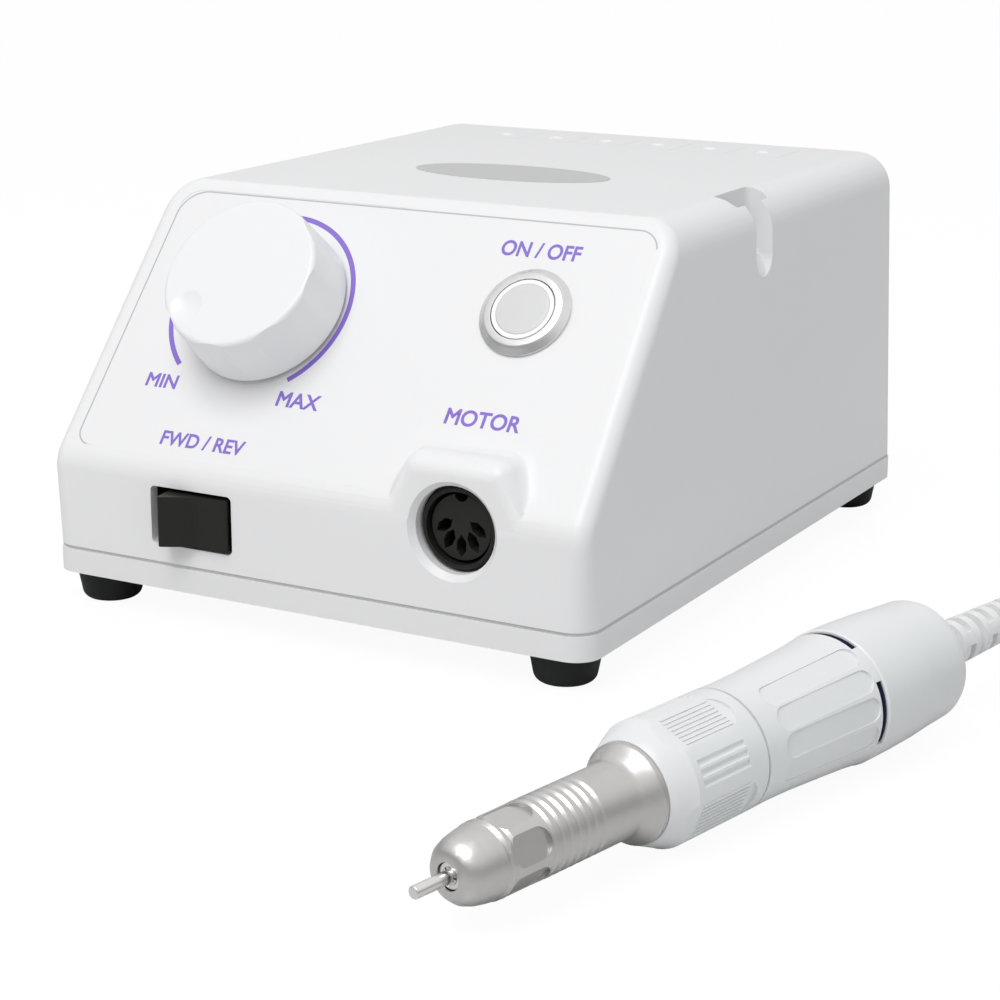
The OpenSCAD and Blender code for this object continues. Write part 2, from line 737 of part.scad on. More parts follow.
module light_ring() {
    color("white") on_slope(button_x, button_s) translate([0, 0, cap_seat])
        tube(light_r, light_r - 1, flange_h - cap_seat);
}

module rocker_frame() {
    pocket = frame_depth - wall - 2;
    color("#202020") on_front(rocker_x, z_base + rocker_up) {
        difference() {
            translate([0, 0, -frame_depth]) linear_extrude(frame_depth - wall)
                rounded_rect(window_w + 2 * frame_wall, window_h + 2 * frame_wall, 1.5);
            translate([0, 0, -wall - pocket]) linear_extrude(pocket + cut) rounded_rect(window_w, window_h, 1.2);
            translate([0, 0, -pivot_in]) rotate([90, 0, 0])
                cylinder(r = pivot_r + fit_gap, h = window_h + 2, center = true);
        }
        for (side = [-1, 0, 1])
            translate([6 * side - 2.4, -0.4, -frame_depth - 6]) cube([4.8, 0.8, 7]);
    }
}

// Rocker with two faces in a shallow vee, tipped so that its right face lies in line with the wall
module rocker() {
    half_tall = rocker_tall / 2;
    dish = rocker_half * tan(rocker_tilt);
    color("#2b2a28") on_front(rocker_x, z_base + rocker_up) translate([0, 0, -pivot_in])
        rotate([0, rocker_tilt, 0]) rotate([90, 0, 0]) {
            translate([0, 0, -half_tall]) linear_extrude(rocker_tall)
                polygon(rounded([[-rocker_half, rocker_face + dish, 0.6], [0, rocker_face, 4],
                                 [rocker_half, rocker_face + dish, 0.6], [rocker_half - 0.8, 1, 1],
                                 [3, -4, 2], [-3, -4, 2], [0.8 - rocker_half, 1, 1]]));
            cylinder(r = pivot_r, h = window_h + 1.6, center = true);
        }
}

// Socket shell: a stepped ring that seats in the recess, and a barrel through the web
module socket_shell() {
    step_h = 0.7;
    color("#2d2c2a") on_front(socket_x, socket_z) rotate_extrude()
        polygon([[socket_bore_r, -socket_l], [socket_barrel_r, -socket_l], [socket_barrel_r, -socket_seat],
                 [socket_r + 0.6, -socket_seat], [socket_r + 0.6, step_h - socket_seat],
                 [socket_r, step_h - socket_seat], [socket_r, -socket_front - 0.3],
                 [socket_r - 0.3, -socket_front], [socket_bore_r, -socket_front]]);
}

module diamond(length, width) {
    polygon([[-length / 2, 0], [-length / 5, -width / 2], [length / 5, -width / 2], [length / 2, 0],
             [length / 5, width / 2], [-length / 5, width / 2]]);
}

// Socket face: contact slots that fan out from a point above the middle, a key notch at the top, and
// round it the groove that takes the plug's shell
module socket_insert() {
    fan_up = 3.1;
    notch_r = 1.6;
    back_l = 5;
    color("#3a3a38") on_front(socket_x, socket_z) difference() {
        union() {
            translate([0, 0, -socket_l + 2]) cylinder(r = socket_bore_r - fit_gap / 2, h = back_l);
            translate([0, 0, -socket_l + 2]) cylinder(r = insert_r, h = socket_l - 2 - socket_face);
        }
        for (a = slot_angles) {
            x = contact_ring_r * cos(a);
            y = contact_ring_r * sin(a);
            translate([x, y, -socket_l]) rotate(atan2(y - fan_up, x)) linear_extrude(socket_l) diamond(5, 2.3);
        }
        translate([0, insert_r, -socket_groove - socket_face]) cylinder(r = notch_r, h = socket_l);
    }
}

module socket_contacts() {
    color("goldenrod") on_front(socket_x, socket_z)
        for (a = slot_angles) rotate([0, 0, a]) translate([contact_ring_r, 0, -socket_l - 3])
            tube(0.95, 0.75, socket_l + 3 - socket_face - 4);
}

module socket_nut() {
    color("#2d2c2a") on_front(socket_x, socket_z) translate([0, 0, -socket_web - 2.5])
        tube(socket_r + 2.4, socket_barrel_r + fit_gap / 2, 2.5);
}

module control_board() {
    color("darkgreen") translate([board_x, board_y, board_z]) linear_extrude(board_t) difference() {
        rounded_rect(board_w, board_d, 2);
        at_corners(board_w / 2 - board_in, board_d / 2 - board_in) circle(screw_r + slip_gap);
    }
}

module board_screws() {
    color("silver") translate([board_x, board_y, board_z + board_t])
        at_corners(board_w / 2 - board_in, board_d / 2 - board_in) {
            cylinder(r = board_head_r, h = 1.8);
            translate([0, 0, -6]) cylinder(r = screw_r, h = 6 + cut);
        }
}

module heat_sink() {
    fin_count = 7;
    fin_t = 1.6;
    color("slategray") translate([board_x + sink_x - sink_l / 2, board_y + sink_y, board_z + board_t]) {
        cube([sink_l, sink_t, sink_h]);
        for (k = [0 : fin_count - 1])
            translate([k * (sink_l - fin_t) / (fin_count - 1), sink_t - cut, 0]) cube([fin_t, fin_l + cut, sink_h]);
    }
}

module power_transistor() {
    color("#222222") translate([board_x + sink_x, board_y + sink_y, board_z + board_t]) {
        translate([-5, -transistor_t, 4]) cube([10, transistor_t, 15]);
        for (k = [-1 : 1]) translate([2.5 * k - 0.4, -2.4, 0]) cube([0.8, 0.6, 5]);
    }
}

module capacitors() {
    can_pitch = 2 * can_cap_r + 3;
    can_x = board_in + board_head_r + board_clear + can_cap_r - board_w / 2;
    color("midnightblue") for (k = [0, 1])
        translate([board_x + can_x + can_pitch * k, board_y + can_cap_y, board_z + board_t])
            rotate_extrude()
                polygon(rounded([[0, 0, 0], [can_cap_r, 0, 0.6], [can_cap_r, 25, 0.8], [0, 25, 0]]));
}

module transformer_core() {
    leg = trafo_l / 3;
    window = trafo_l / 6;
    yoke = trafo_l / 6;
    color("gray") translate([trafo_x, trafo_y, z_floor]) difference() {
        translate([-trafo_stack / 2, -trafo_l / 2, 0]) cube([trafo_stack, trafo_l, trafo_tall]);
        for (side = [-1, 1])
            translate([-trafo_stack, side * (leg + window) / 2 - window / 2, yoke])
                cube([2 * trafo_stack, window, trafo_tall - 2 * yoke]);
    }
}

module transformer_coil() {
    leg = trafo_l / 3;
    yoke = trafo_l / 6;
    coil_tall = trafo_tall - 2 * yoke - 2 * slip_gap;
    color("peru") translate([trafo_x, trafo_y, z_floor + yoke + slip_gap]) linear_extrude(coil_tall) difference() {
        rounded_rect(trafo_stack + trafo_l / 3, 2 * leg - 2 * slip_gap, 4);
        square([trafo_stack + 2 * fit_gap, leg + 2 * fit_gap], center = true);
    }
}

module transformer_strap() {
    strap_w = 12;
    strap_t = 1;
    ear = 9;
    color("silver") translate([trafo_x, trafo_y, z_floor]) difference() {
        rotate([90, 0, 90]) linear_extrude(strap_w, center = true) {
            difference() {
                translate([-trafo_l / 2 - strap_t, 0])
                    square([trafo_l + 2 * strap_t, trafo_tall + strap_t]);
                translate([-trafo_l / 2, -cut]) square([trafo_l, trafo_tall + cut]);
            }
            for (side = [-1, 1])
                translate([side * (trafo_l + ear) / 2 - ear / 2, 0]) square([ear, strap_t]);
        }
        for (side = [-1, 1])
            translate([0, side * (trafo_l / 2 + 5), -cut]) cylinder(r = screw_r + slip_gap, h = 3 * cut);
    }
}

module strap_screws() {
    color("silver") for (side = [-1, 1])
        translate([trafo_x, trafo_y + side * (trafo_l / 2 + 5), z_floor]) {
            translate([0, 0, 1]) cylinder(r = 2.6, h = 1.8);
            translate([0, 0, -floor_t]) cylinder(r = screw_r, h = floor_t + 1 + cut);
        }
}

module eight_outline(r, pitch) {
    square([pitch, 1.5 * r], center = true);
    for (side = [-1, 1]) translate([side * pitch / 2, 0]) circle(r);
}

module inlet_body() {
    color("#222222") on_back(inlet_x, z_base + inlet_up) difference() {
        union() {
            translate([0, 0, fit_gap]) linear_extrude(1.8) rounded_rect(27, 20, 3);
            translate([0, 0, -17]) linear_extrude(17 + cut) rounded_rect(22, 15, 2);
        }
        translate([0, 0, -12]) linear_extrude(12 + 3) eight_outline(4.3, 8);
        for (side = [-1, 1]) translate([side * 4.3, 0, -20]) cylinder(r = 1.2 + fit_gap, h = 12);
    }
}

module inlet_pins() {
    color("silver") on_back(inlet_x, z_base + inlet_up)
        for (side = [-1, 1]) translate([side * 4.3, 0, -21]) {
            cylinder(r = 1.2, h = 18);
            translate([0, 0, 18]) sphere(1.2);
        }
}

// Pedal jack: a panel let into the wall, a flange behind it, and a bushed body with the plug's bore
module pedal_jack() {
    mouth_r = jack_bore_r + 0.3;
    mouth_l = 2 * wall;
    body_r = 8;
    body_l = 28;
    color("#222222") on_back(jack_x, z_base + jack_up) difference() {
        union() {
            translate([0, 0, -1.5 * wall]) linear_extrude(1.5 * wall) rounded_rect(jack_panel_w, jack_panel_h, 2);
            translate([0, 0, -2 * wall]) linear_extrude(wall)
                rounded_rect(jack_panel_w + 2 * jack_flange, jack_panel_h + 2 * jack_flange, 2);
            translate([0, 0, -body_l]) cylinder(r = body_r, h = body_l - wall);
            translate([0, 0, -wall]) cylinder(r = jack_bush_r, h = wall + 4);
        }
        rotate_extrude()
            polygon([[0, 2 - body_l], [jack_bore_r, 2 - body_l], [jack_bore_r, -mouth_l], [mouth_r, -mouth_l],
                     [mouth_r, 4 + cut], [0, 4 + cut]]);
    }
}

module jack_nut() {
    color("silver") on_back(jack_x, z_base + jack_up) translate([0, 0, fit_gap])
        hex_nut(6.6, jack_bush_r + fit_gap / 2, 2.4);
}

// Steel nose: domed front with flats, thin grooves, milled grip flats, grip rings and a flared collar
module nose_housing() {
    ring_count = 6;
    ring_pitch = 2.05;
    s_rings = s_nose + 18.6;
    s_barrel = s_rings + ring_count * ring_pitch;
    groove = 0.45;
    flat_count = 6;
    groove_steps = [8.2, 10];
    s_tube = s_sleeve + 5;
    outer = concat(
        [[2.5, s_nose], [3.4, s_nose], [4.6, s_nose + 0.5], [5.6, s_nose + 1.7], [6.2, s_nose + 3.4],
         [6.6, s_nose + 5.6], [nose_r - 0.25, s_nose + 7.6]],
        [for (g = groove_steps) each [[nose_r - 0.15, s_nose + g - 0.5], [nose_r - 0.15 - groove, s_nose + g],
                                      [nose_r - 0.1, s_nose + g + 0.5]]],
        [[nose_r - 0.05, s_rings - 0.4]],
        [for (k = [0 : ring_count - 1]) each [[nose_r - groove, s_rings + k * ring_pitch],
                                             [nose_r, s_rings + (k + 0.25) * ring_pitch],
                                             [nose_r, s_rings + (k + 0.75) * ring_pitch]]],
        [[nose_r - groove, s_barrel], [nose_r, s_barrel + 0.5], [nose_r, s_flare - 4.8],
         [flare_r - 0.4, s_flare - 1.1], [flare_r, s_flare - 0.8], [flare_r, s_flare],
         [tube_r, s_flare], [tube_r, s_tube], [tube_r - 1.2, s_tube], [tube_r - 1.2, s_flare - 4],
         [bearing_r, s_flare - 4], [bearing_r, s_nose + 4], [2.5, s_nose + 4]]);
    color("silver") difference() {
        on_handpiece() rotate_extrude() polygon(outer);
        for (k = [0 : flat_count - 1])
            on_handpiece(s_nose + 13.4, label_roll + k * 360 / flat_count)
                translate([nose_r - 0.75, 0, 0]) rotate([0, 90, 0]) linear_extrude(3)
                    rounded_rect(9.4, 5.6, 2.6);
        for (k = [0 : 2])
            on_handpiece(s_nose, label_roll - 10 + k * 120)
                translate([4.4, -5, 0]) rotate([0, 38, 0]) translate([0, 0, -4]) cube([5, 10, 10]);
    }
}

module front_bearings() {
    color("gainsboro") for (s = [s_nose + 4, s_flare - 9])
        on_handpiece(s) tube(bearing_r, spindle_r + fit_gap / 2, 4);
}

module spindle() {
    color("lightgray") on_handpiece() rotate_extrude()
        polygon([[1.62, s_nose + 0.5], [2.3, s_nose + 0.5], [2.3, s_nose + 4.2], [spindle_r, s_nose + 4.2],
                 [spindle_r, s_flare - 4], [5.5, s_flare - 3.6], [5.5, s_flare + 4], [0, s_flare + 4],
                 [0, s_nose + 26], [1.62, s_nose + 26]]);
}

module collet() {
    color("gray") on_handpiece(s_nose + 0.3) difference() {
        tube(1.6, shank_r + fit_gap / 2, 22);
        for (turn = [0 : 120 : 240])
            rotate([0, 0, turn]) translate([0, -0.15, -cut]) cube([3, 0.3, 10]);
    }
}

module blank_pin() {
    color("silver") on_handpiece() rotate_extrude()
        polygon(rounded([[0, 0, 0], [shank_r, 0, 0.3], [shank_r, s_nose + 20, 0], [0, s_nose + 20, 0]]));
}

// Chuck ring: front cone, groups of coarse grooves, and between them flats with fine ribs
module chuck_ring() {
    grip_l = 13;
    grip_0 = ring_chamfer + 1.5;
    groove_r = 0.75;
    groove_out = 0.2;
    groove_step = 9;
    flat_in = 0.75;
    flat_w = 8.6;
    flat_l = ring_l - 5;
    rib_count = 8;
    rib_step = 0.95;
    rib_w = 0.42;
    rib_h = 0.22;
    color("white") on_handpiece(s_ring, label_roll) {
        difference() {
            rotate_extrude()
                polygon([[tube_r + fit_gap, 0], [flare_r + 0.1, 0], [flare_r + 0.6, 0.5],
                         [ring_r - 0.2, ring_chamfer - 0.3], [ring_r, ring_chamfer], [ring_r - 0.1, ring_l - 0.4],
                         [ring_r - 0.4, ring_l], [tube_r + fit_gap, ring_l]]);
            for (group = [0 : 3], k = [-1 : 1])
                rotate([0, 0, group * 90 + k * groove_step]) translate([ring_r + groove_out, 0, grip_0])
                    cylinder(r = groove_r, h = grip_l);
            for (group = [0 : 3])
                rotate([0, 0, group * 90 + 45]) translate([ring_r - flat_in, 0, ring_l - 3 - flat_l / 2])
                    rotate([0, 90, 0]) linear_extrude(2 * flat_in) rounded_rect(flat_l, flat_w, flat_w / 2 - 0.1);
        }
        for (group = [0 : 3], k = [0 : rib_count - 1])
            rotate([0, 0, group * 90 + 45])
                translate([ring_r - flat_in - 0.4, (k - (rib_count - 1) / 2) * rib_step - rib_w / 2, grip_0])
                    cube([0.4 + rib_h, rib_w, grip_l]);
    }
}

// Motor sleeve: waisted shell with four flat label plates and a windowed rear rim
module motor_sleeve() {
    front_r = ring_r - 0.1;
    window_l = 1.7;
    plate_l = 27;
    plate_w = 4.7;
    plate_lean = 3;
    color("white") difference() {
        on_handpiece(s_sleeve) rotate_extrude()
            polygon([[tube_r + fit_gap, 0], [front_r, 0], [front_r - 0.1, sleeve_l * 0.15],
                     [front_r + 0.05, sleeve_l * 0.35], [front_r + 0.5, sleeve_l * 0.6],
                     [sleeve_r - 0.4, sleeve_l * 0.85], [sleeve_r, sleeve_l - 1], [sleeve_r, sleeve_l - fit_gap],
                     [can_r + fit_gap / 2, sleeve_l - fit_gap], [can_r + fit_gap / 2, 6], [tube_r + fit_gap, 6]]);
        for (k = [0 : 3])
            on_handpiece(s_sleeve + sleeve_l / 2 + 1.5, label_roll + (k - 1.5) * 25)
                translate([front_r + 0.04, 0, 0]) rotate([0, 90 + plate_lean, 0]) linear_extrude(4)
                    rounded_rect(plate_l, plate_w, plate_w / 2 - 0.1);
        for (k = [0 : 3])
            on_handpiece(s_cap - window_l, label_roll + 20 + k * 90) linear_extrude(window_l + cut)
                polygon([[0, 0], [2 * sleeve_r, -2 * sleeve_r * tan(28)], [2 * sleeve_r, 2 * sleeve_r * tan(28)]]);
    }
}

module motor_can() {
    color("#1d2440") on_handpiece() rotate_extrude()
        polygon([[4, s_can], [can_r, s_can], [can_r, s_can_end], [can_r - can_wall, s_can_end],
                 [can_r - can_wall, s_can + 1.6], [4, s_can + 1.6]]);
}

module magnets() {
    color("#303030") for (side = [0, 180])
        on_handpiece(s_can + 4, side) intersection() {
            tube(can_r - can_wall - fit_gap / 2, can_r - can_wall - 1.7, 28);
            linear_extrude(28) polygon([[0, 0], [20, -24], [20, 24]]);
        }
}

module rotor_shaft() {
    color("silver") on_handpiece(s_flare + 4) cylinder(r = rotor_r, h = s_rear - 5 - s_flare - 4);
}

module armature() {
    slots = 5;
    color("darkgoldenrod") on_handpiece(s_can + 6) linear_extrude(23) difference() {
        circle(can_r - can_wall - 2.1);
        circle(rotor_r + fit_gap / 2);
        for (k = [0 : slots - 1])
            rotate([0, 0, k * 360 / slots]) translate([5, -0.8]) square([6, 1.6]);
    }
}

module commutator() {
    color("peru") on_handpiece(s_can + 34.6) tube(3.4, rotor_r + fit_gap / 2, 8);
}

module brush_plate() {
    plate_r = can_r - can_wall - fit_gap / 2;
    color("saddlebrown") on_handpiece(s_can_end - 8) difference() {
        union() {
            cylinder(r = plate_r, h = 5);
            for (side = [0, 180])
                rotate([0, 0, side]) translate([4.2, -2.6, -9]) cube([4, 5.2, 9 + cut]);
        }
        translate([0, 0, -cut]) cylinder(r = 3.8, h = 4);
        translate([0, 0, -cut]) cylinder(r = rotor_r + 0.4, h = 5 + 2 * cut);
        for (side = [0, 180])
            rotate([0, 0, side]) translate([3, -1.5 - fit_gap, -8]) cube([8, 3 + 2 * fit_gap, 4]);
    }
}

module brushes() {
    color("#2b2b2b") for (side = [0, 180])
        on_handpiece(s_can_end - 8, side) translate([3.4 + fit_gap, -1.5, -8 + fit_gap])
            cube([4.6, 3, 4 - 2 * fit_gap]);
}

module rear_bearing() {
    color("gainsboro") on_handpiece(s_can_end - 8) tube(3.8 - fit_gap / 2, rotor_r + fit_gap / 2, 3);
}

module rear_cap() {
    color("white") on_handpiece() rotate_extrude()
        polygon([[can_r + fit_gap / 2, s_cap], [cap_r - 0.3, s_cap], [cap_r, s_cap + 0.4],
                 [cap_r - 0.1, s_cap + 8], [cap_r - 0.35, s_cap + 15], [cap_r - 0.8, s_cap + 21],
                 [cap_r - 1.1, s_rear - 1.2], [cap_r - 1.4, s_rear - 0.4], [cap_r - 2, s_rear],
                 [5, s_rear], [5, s_rear - 2.6], [can_r + fit_gap / 2, s_rear - 2.6]]);
}

// Strain relief: collar, then a boot cut by pairs of slots that turn a quarter each time
module strain_relief() {
    slot_count = 7;
    slot_pitch = (boot_l - 3) / slot_count;
    web = 1.3;
    color("white") difference() {
        on_handpiece() rotate_extrude()
            polygon([[cord_bore_r, s_rear - 2.6], [5 - fit_gap / 2, s_rear - 2.6], [5 - fit_gap / 2, s_rear],
                     [collar_r - 0.2, s_rear], [collar_r, s_rear + 0.3], [collar_r - 0.1, s_boot],
                     [boot_r0 + 0.6, s_boot], [boot_r0 + 0.6, s_boot + 3.4], [boot_r0, s_boot + 3.4],
                     [boot_r1, s_end], [cord_bore_r, s_end]]);
        for (k = [0 : slot_count - 1], side = [-1, 1])
            on_handpiece(s_boot + 4.2 + k * slot_pitch, label_roll + 90 * (k % 2))
                translate([side * (web + 5), 0, slot_pitch / 4]) cube([10, 20, slot_pitch / 2], center = true);
    }
}

// Cord tube: rings of points square to the route, closed by two end faces
function tangent(route, i) =
    unit(route[min(i + 1, len(route) - 1)] - route[max(i - 1, 0)]);
function ring_points(p, t, r, sides) =
    let (across = unit(cross(t, [0, 0, 1])), up = cross(across, t))
    [for (k = [0 : sides - 1]) p + r * (across * cos((k + 0.5) * 360 / sides) + up * sin((k + 0.5) * 360 / sides))];
module swept_tube(route, r, sides) {
    m = len(route);
    points = [for (i = [0 : m - 1]) each ring_points(route[i], tangent(route, i), r, sides)];
    sides_faces = [for (i = [0 : m - 2], k = [0 : sides - 1])
        let (a = i * sides + k, b = i * sides + (k + 1) % sides)
        each [[a, a + sides, b], [b, a + sides, b + sides]]];
    ends = [for (k = [1 : sides - 2]) each [[0, k, k + 1],
            [(m - 1) * sides, (m - 1) * sides + k + 1, (m - 1) * sides + k]]];
    polyhedron(points, concat(sides_faces, ends));
}

// Coil: the radius swings in and out at a steady rate, and each reversal climbs one layer in half a turn
function ramp(t) = let (c = min(max(t, 0), 1)) c * c * (3 - 2 * c);
function coil_swing_at(u) =
    let (phase = u / layer_turns, k = floor(phase), f = phase - k) (k % 2 == 0) ? 1 - 2 * f : 2 * f - 1;
function coil_level(u) = [for (k = [1 : coil_layers - 1]) ramp((u - k * layer_turns) / 0.5 + 0.5)]
    * [for (k = [1 : coil_layers - 1]) 1];
function coil_point(u) =
    let (r = coil_r + coil_swing * coil_swing_at(u), a = 180 + 360 * (u - coil_turns))
    coil_mid + r * (east * cos(a) + north * sin(a)) + [0, 0, coil_low_z + coil_step * coil_level(u)];
rings_per_turn = 24;
coil_steps = ceil(coil_turns * rings_per_turn);
coil_start = coil_point(0);
coil_end = coil_point(coil_turns);
coil_ends_run = cord_d;
coil_route = concat([coil_start - north * coil_ends_run],
                    [for (i = [0 : coil_steps]) coil_point(coil_turns * i / coil_steps)],
                    [coil_end - north * coil_ends_run]);
coil_lead = [for (i = [0 : len(coil_route) - 1], j = [i + 12 : 1 : len(coil_route) - 1])
             norm(coil_route[i] - coil_route[j])];
echo(coil_least_gap = min(coil_lead) - cord_d);

// Lead: inside the boot, then straight on to the coil's top layer
lead_route = [for (s = [s_rear - 2 : 9.5 : s_end]) hand_tip + axis_dir * s];
lead_tail = [for (t = [0.3, 0.65, 1]) boot_end + (coil_end - north * coil_ends_run - boot_end) * t];
// Tail: from the coil's lowest layer up to the middle of the plug
tail_rise = [[0, 0], [0.2, 0.02], [0.4, 0.25], [0.6, 0.75], [0.8, 0.98], [1, 1]];
tail_start = coil_start - north * coil_ends_run;
tail_route = [for (t = tail_rise)
    [tail_start.x + (plug_rear.x - tail_start.x) * t[0], tail_start.y + (plug_rear.y - tail_start.y) * t[0],
     tail_start.z + (plug_rear.z - tail_start.z) * t[1]]];

module cord_lead() {
    color("white") swept_tube(concat(lead_route, lead_tail), cord_r, 8);
}

module cord_coil() {
    color("white") swept_tube(coil_route, cord_r, 6);
}

module cord_tail() {
    color("white") swept_tube(tail_route, cord_r, 8);
}

// Tie: a strap with rounded corners round the coil's turns
module cord_tie() {
    tie_w = 8;
    inner_w = 2 * coil_swing + cord_d + 2 * tie_gap;
    inner_h = coil_top_z - coil_low_z + cord_d + 2 * tie_gap;
    color("dimgray") translate(coil_mid) rotate([0, 0, -hand_heading - 60])
        translate([coil_r, 0, tie_t + inner_h / 2]) rotate([90, 0, 0])
            linear_extrude(tie_w, center = true) difference() {
                rounded_rect(inner_w + 2 * tie_t, inner_h + 2 * tie_t, 2.4);
                rounded_rect(inner_w, inner_h, 1.4);
            }
}

// Plug, from its boot to its pins
module plug_grip() {
    groove_count = 6;
    color("#2b2b2b") on_plug() rotate_extrude()
        polygon(concat([[cord_bore_r, 0], [3.4, 0], [4.4, plug_boot_l]],
                       [[grip_r - 1.2, plug_boot_l], [grip_r, plug_boot_l + 1.5]],
                       [for (k = [0 : groove_count - 1]) each [
                           [grip_r, plug_boot_l + 3 + 3 * k], [grip_r - 0.5, plug_boot_l + 3.4 + 3 * k],
                           [grip_r - 0.5, plug_boot_l + 4.4 + 3 * k], [grip_r, plug_boot_l + 4.8 + 3 * k]]],
                       [[grip_r, plug_boot_l + plug_grip_l - 1], [grip_r - 0.6, plug_boot_l + plug_grip_l],
                        [plug_shell_r + fit_gap / 2, plug_boot_l + plug_grip_l],
                        [plug_shell_r + fit_gap / 2, plug_boot_l + plug_grip_l - 12],
                        [cord_bore_r, plug_boot_l + plug_grip_l - 12]]));
}

module plug_shell() {
    shell_s = plug_boot_l + plug_grip_l - 12;
    color("silver") on_plug(shell_s) difference() {
        tube(plug_shell_r, plug_shell_r - plug_shell_t, 12 + plug_shell_l);
        translate([-1, plug_shell_r - 1.4, 12 + 3]) cube([2, 2, plug_shell_l]);
    }
}

module plug_insulator() {
    color("#2b2b2b") on_plug(plug_boot_l + plug_grip_l - 8) linear_extrude(9) difference() {
        circle(plug_shell_r - plug_shell_t - fit_gap / 2);
        for (a = slot_angles) rotate([0, 0, a]) translate([contact_ring_r, 0]) circle(0.72 + fit_gap / 2);
    }
}

module plug_pins() {
    color("goldenrod") on_plug(plug_boot_l + plug_grip_l - 9)
        for (a = slot_angles) rotate([0, 0, a]) translate([contact_ring_r, 0, 0]) cylinder(r = 0.72, h = 17);
}

upper_housing();
base_tray();
front_overlay();
badge_plate();
rubber_feet();
case_screws();
bit_cups();
pot_body();
pot_nut();
switch_barrel();
switch_nut();
rocker_frame();
socket_shell();
socket_insert();
socket_contacts();
socket_nut();
control_board();
board_screws();
heat_sink();
power_transistor();
capacitors();
transformer_core();
transformer_coil();
transformer_strap();
strap_screws();
inlet_body();
inlet_pins();
pedal_jack();
jack_nut();
speed_knob();
pot_shaft();
button_cap();
light_ring();
rocker();
nose_housing();
front_bearings();
chuck_ring();
spindle();
collet();
blank_pin();
rotor_shaft();
armature();
commutator();
motor_sleeve();
motor_can();
magnets();
brush_plate();
brushes();
rear_bearing();
rear_cap();
strain_relief();
cord_lead();
cord_coil();
cord_tail();
cord_tie();
plug_grip();
plug_shell();
plug_insulator();
plug_pins();
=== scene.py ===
# Nail drill machine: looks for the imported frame. Metres, same frame as the CAD.
import math

import bmesh
import bpy
from mathutils import Matrix, Vector


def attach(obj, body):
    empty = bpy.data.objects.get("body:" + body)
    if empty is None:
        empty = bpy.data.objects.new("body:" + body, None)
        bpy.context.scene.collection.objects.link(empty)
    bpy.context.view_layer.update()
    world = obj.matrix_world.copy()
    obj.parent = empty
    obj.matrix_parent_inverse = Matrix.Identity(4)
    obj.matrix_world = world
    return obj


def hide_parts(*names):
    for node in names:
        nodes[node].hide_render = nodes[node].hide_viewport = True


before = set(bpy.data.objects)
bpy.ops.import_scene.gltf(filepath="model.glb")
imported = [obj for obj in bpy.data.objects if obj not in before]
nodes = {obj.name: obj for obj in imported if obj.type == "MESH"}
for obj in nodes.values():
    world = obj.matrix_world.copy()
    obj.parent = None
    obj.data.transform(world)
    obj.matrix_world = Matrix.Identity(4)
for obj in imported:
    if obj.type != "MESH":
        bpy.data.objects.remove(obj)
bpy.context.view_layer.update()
scene = bpy.context.scene
scene.view_settings.view_transform = "Standard"

MM = 0.001


def mm(x, y, z):
    return Vector((x, y, z)) * MM


# Camera, at the photograph's place
IMAGE_PIXELS = 1000
FOCAL_PIXELS = 2482.1
SENSOR_MM = 36.0
CAMERA_AT = mm(290.47, -519.75, 177.93)
CAMERA_YAW, CAMERA_PITCH, CAMERA_ROLL = 29.244, 15.59, 0.037


def make_camera():
    yaw, pitch, roll = (math.radians(angle) for angle in (CAMERA_YAW, CAMERA_PITCH, CAMERA_ROLL))
    forward = Vector((-math.sin(yaw) * math.cos(pitch), math.cos(yaw) * math.cos(pitch), -math.sin(pitch)))
    level = Vector((math.cos(yaw), math.sin(yaw), 0.0))
    rise = level.cross(forward)
    right = level * math.cos(roll) + rise * math.sin(roll)
    up = rise * math.cos(roll) - level * math.sin(roll)
    data = bpy.data.cameras.new("camera")
    data.sensor_width = SENSOR_MM
    data.lens = SENSOR_MM * FOCAL_PIXELS / IMAGE_PIXELS
    data.clip_start = 0.01
    camera = bpy.data.objects.new("camera", data)
    turn = Matrix((right, up, -forward)).transposed().to_4x4()
    camera.matrix_world = Matrix.Translation(CAMERA_AT) @ turn
    scene.collection.objects.link(camera)
    scene.camera = camera


make_camera()

# Handpiece axis, with places along it measured from the pin's tip, as in the CAD
HEADING = math.radians(14.3)
RING_R = 12.0
CAP_R = 13.6
S_REST = 58.05
S_CAP = 112.3
S_END = 176.9
TILT = math.atan2(CAP_R - RING_R, S_CAP - S_REST)
TIP = Vector((99.4, -207.0, RING_R / math.cos(TILT) - S_REST * math.sin(TILT)))
AXIS = Vector((math.sin(HEADING) * math.cos(TILT), math.cos(HEADING) * math.cos(TILT), math.sin(TILT)))
EAST = Vector((math.cos(HEADING), -math.sin(HEADING), 0.0))
NORTH = Vector((math.sin(HEADING), math.cos(HEADING), 0.0))

# Cord route: out of the boot, onto the coil's top layer, and from its lowest layer to the plug
CORD_D = 4.5
COIL_R = 27.0
LAYER_TURNS = 2.125
COIL_LAYERS = 4
COIL_STEP = CORD_D + 0.6
COIL_TURNS = COIL_LAYERS * LAYER_TURNS
COIL_SWING = COIL_STEP * LAYER_TURNS / 2
COIL_AHEAD = 40.0
LAYER_RISE = 0.5
TIE_T, TIE_GAP = 1.0, 0.35
COIL_LOW = TIE_T + TIE_GAP + CORD_D / 2
GRIP_R = 9.15
PLUG_BACK = 34.0
INSIDE_BOOT, INSIDE_GRIP = 29.0, 8.0
BOOT_END = TIP + AXIS * S_END
COIL_MID = Vector((BOOT_END.x, BOOT_END.y, 0.0)) + NORTH * COIL_AHEAD + EAST * (COIL_R + COIL_SWING)
PLUG_REAR = COIL_MID + EAST * (COIL_R + COIL_SWING) - NORTH * PLUG_BACK + Vector((0.0, 0.0, GRIP_R))


def ease(t):
    t = min(max(t, 0.0), 1.0)
    return t * t * (3.0 - 2.0 * t)


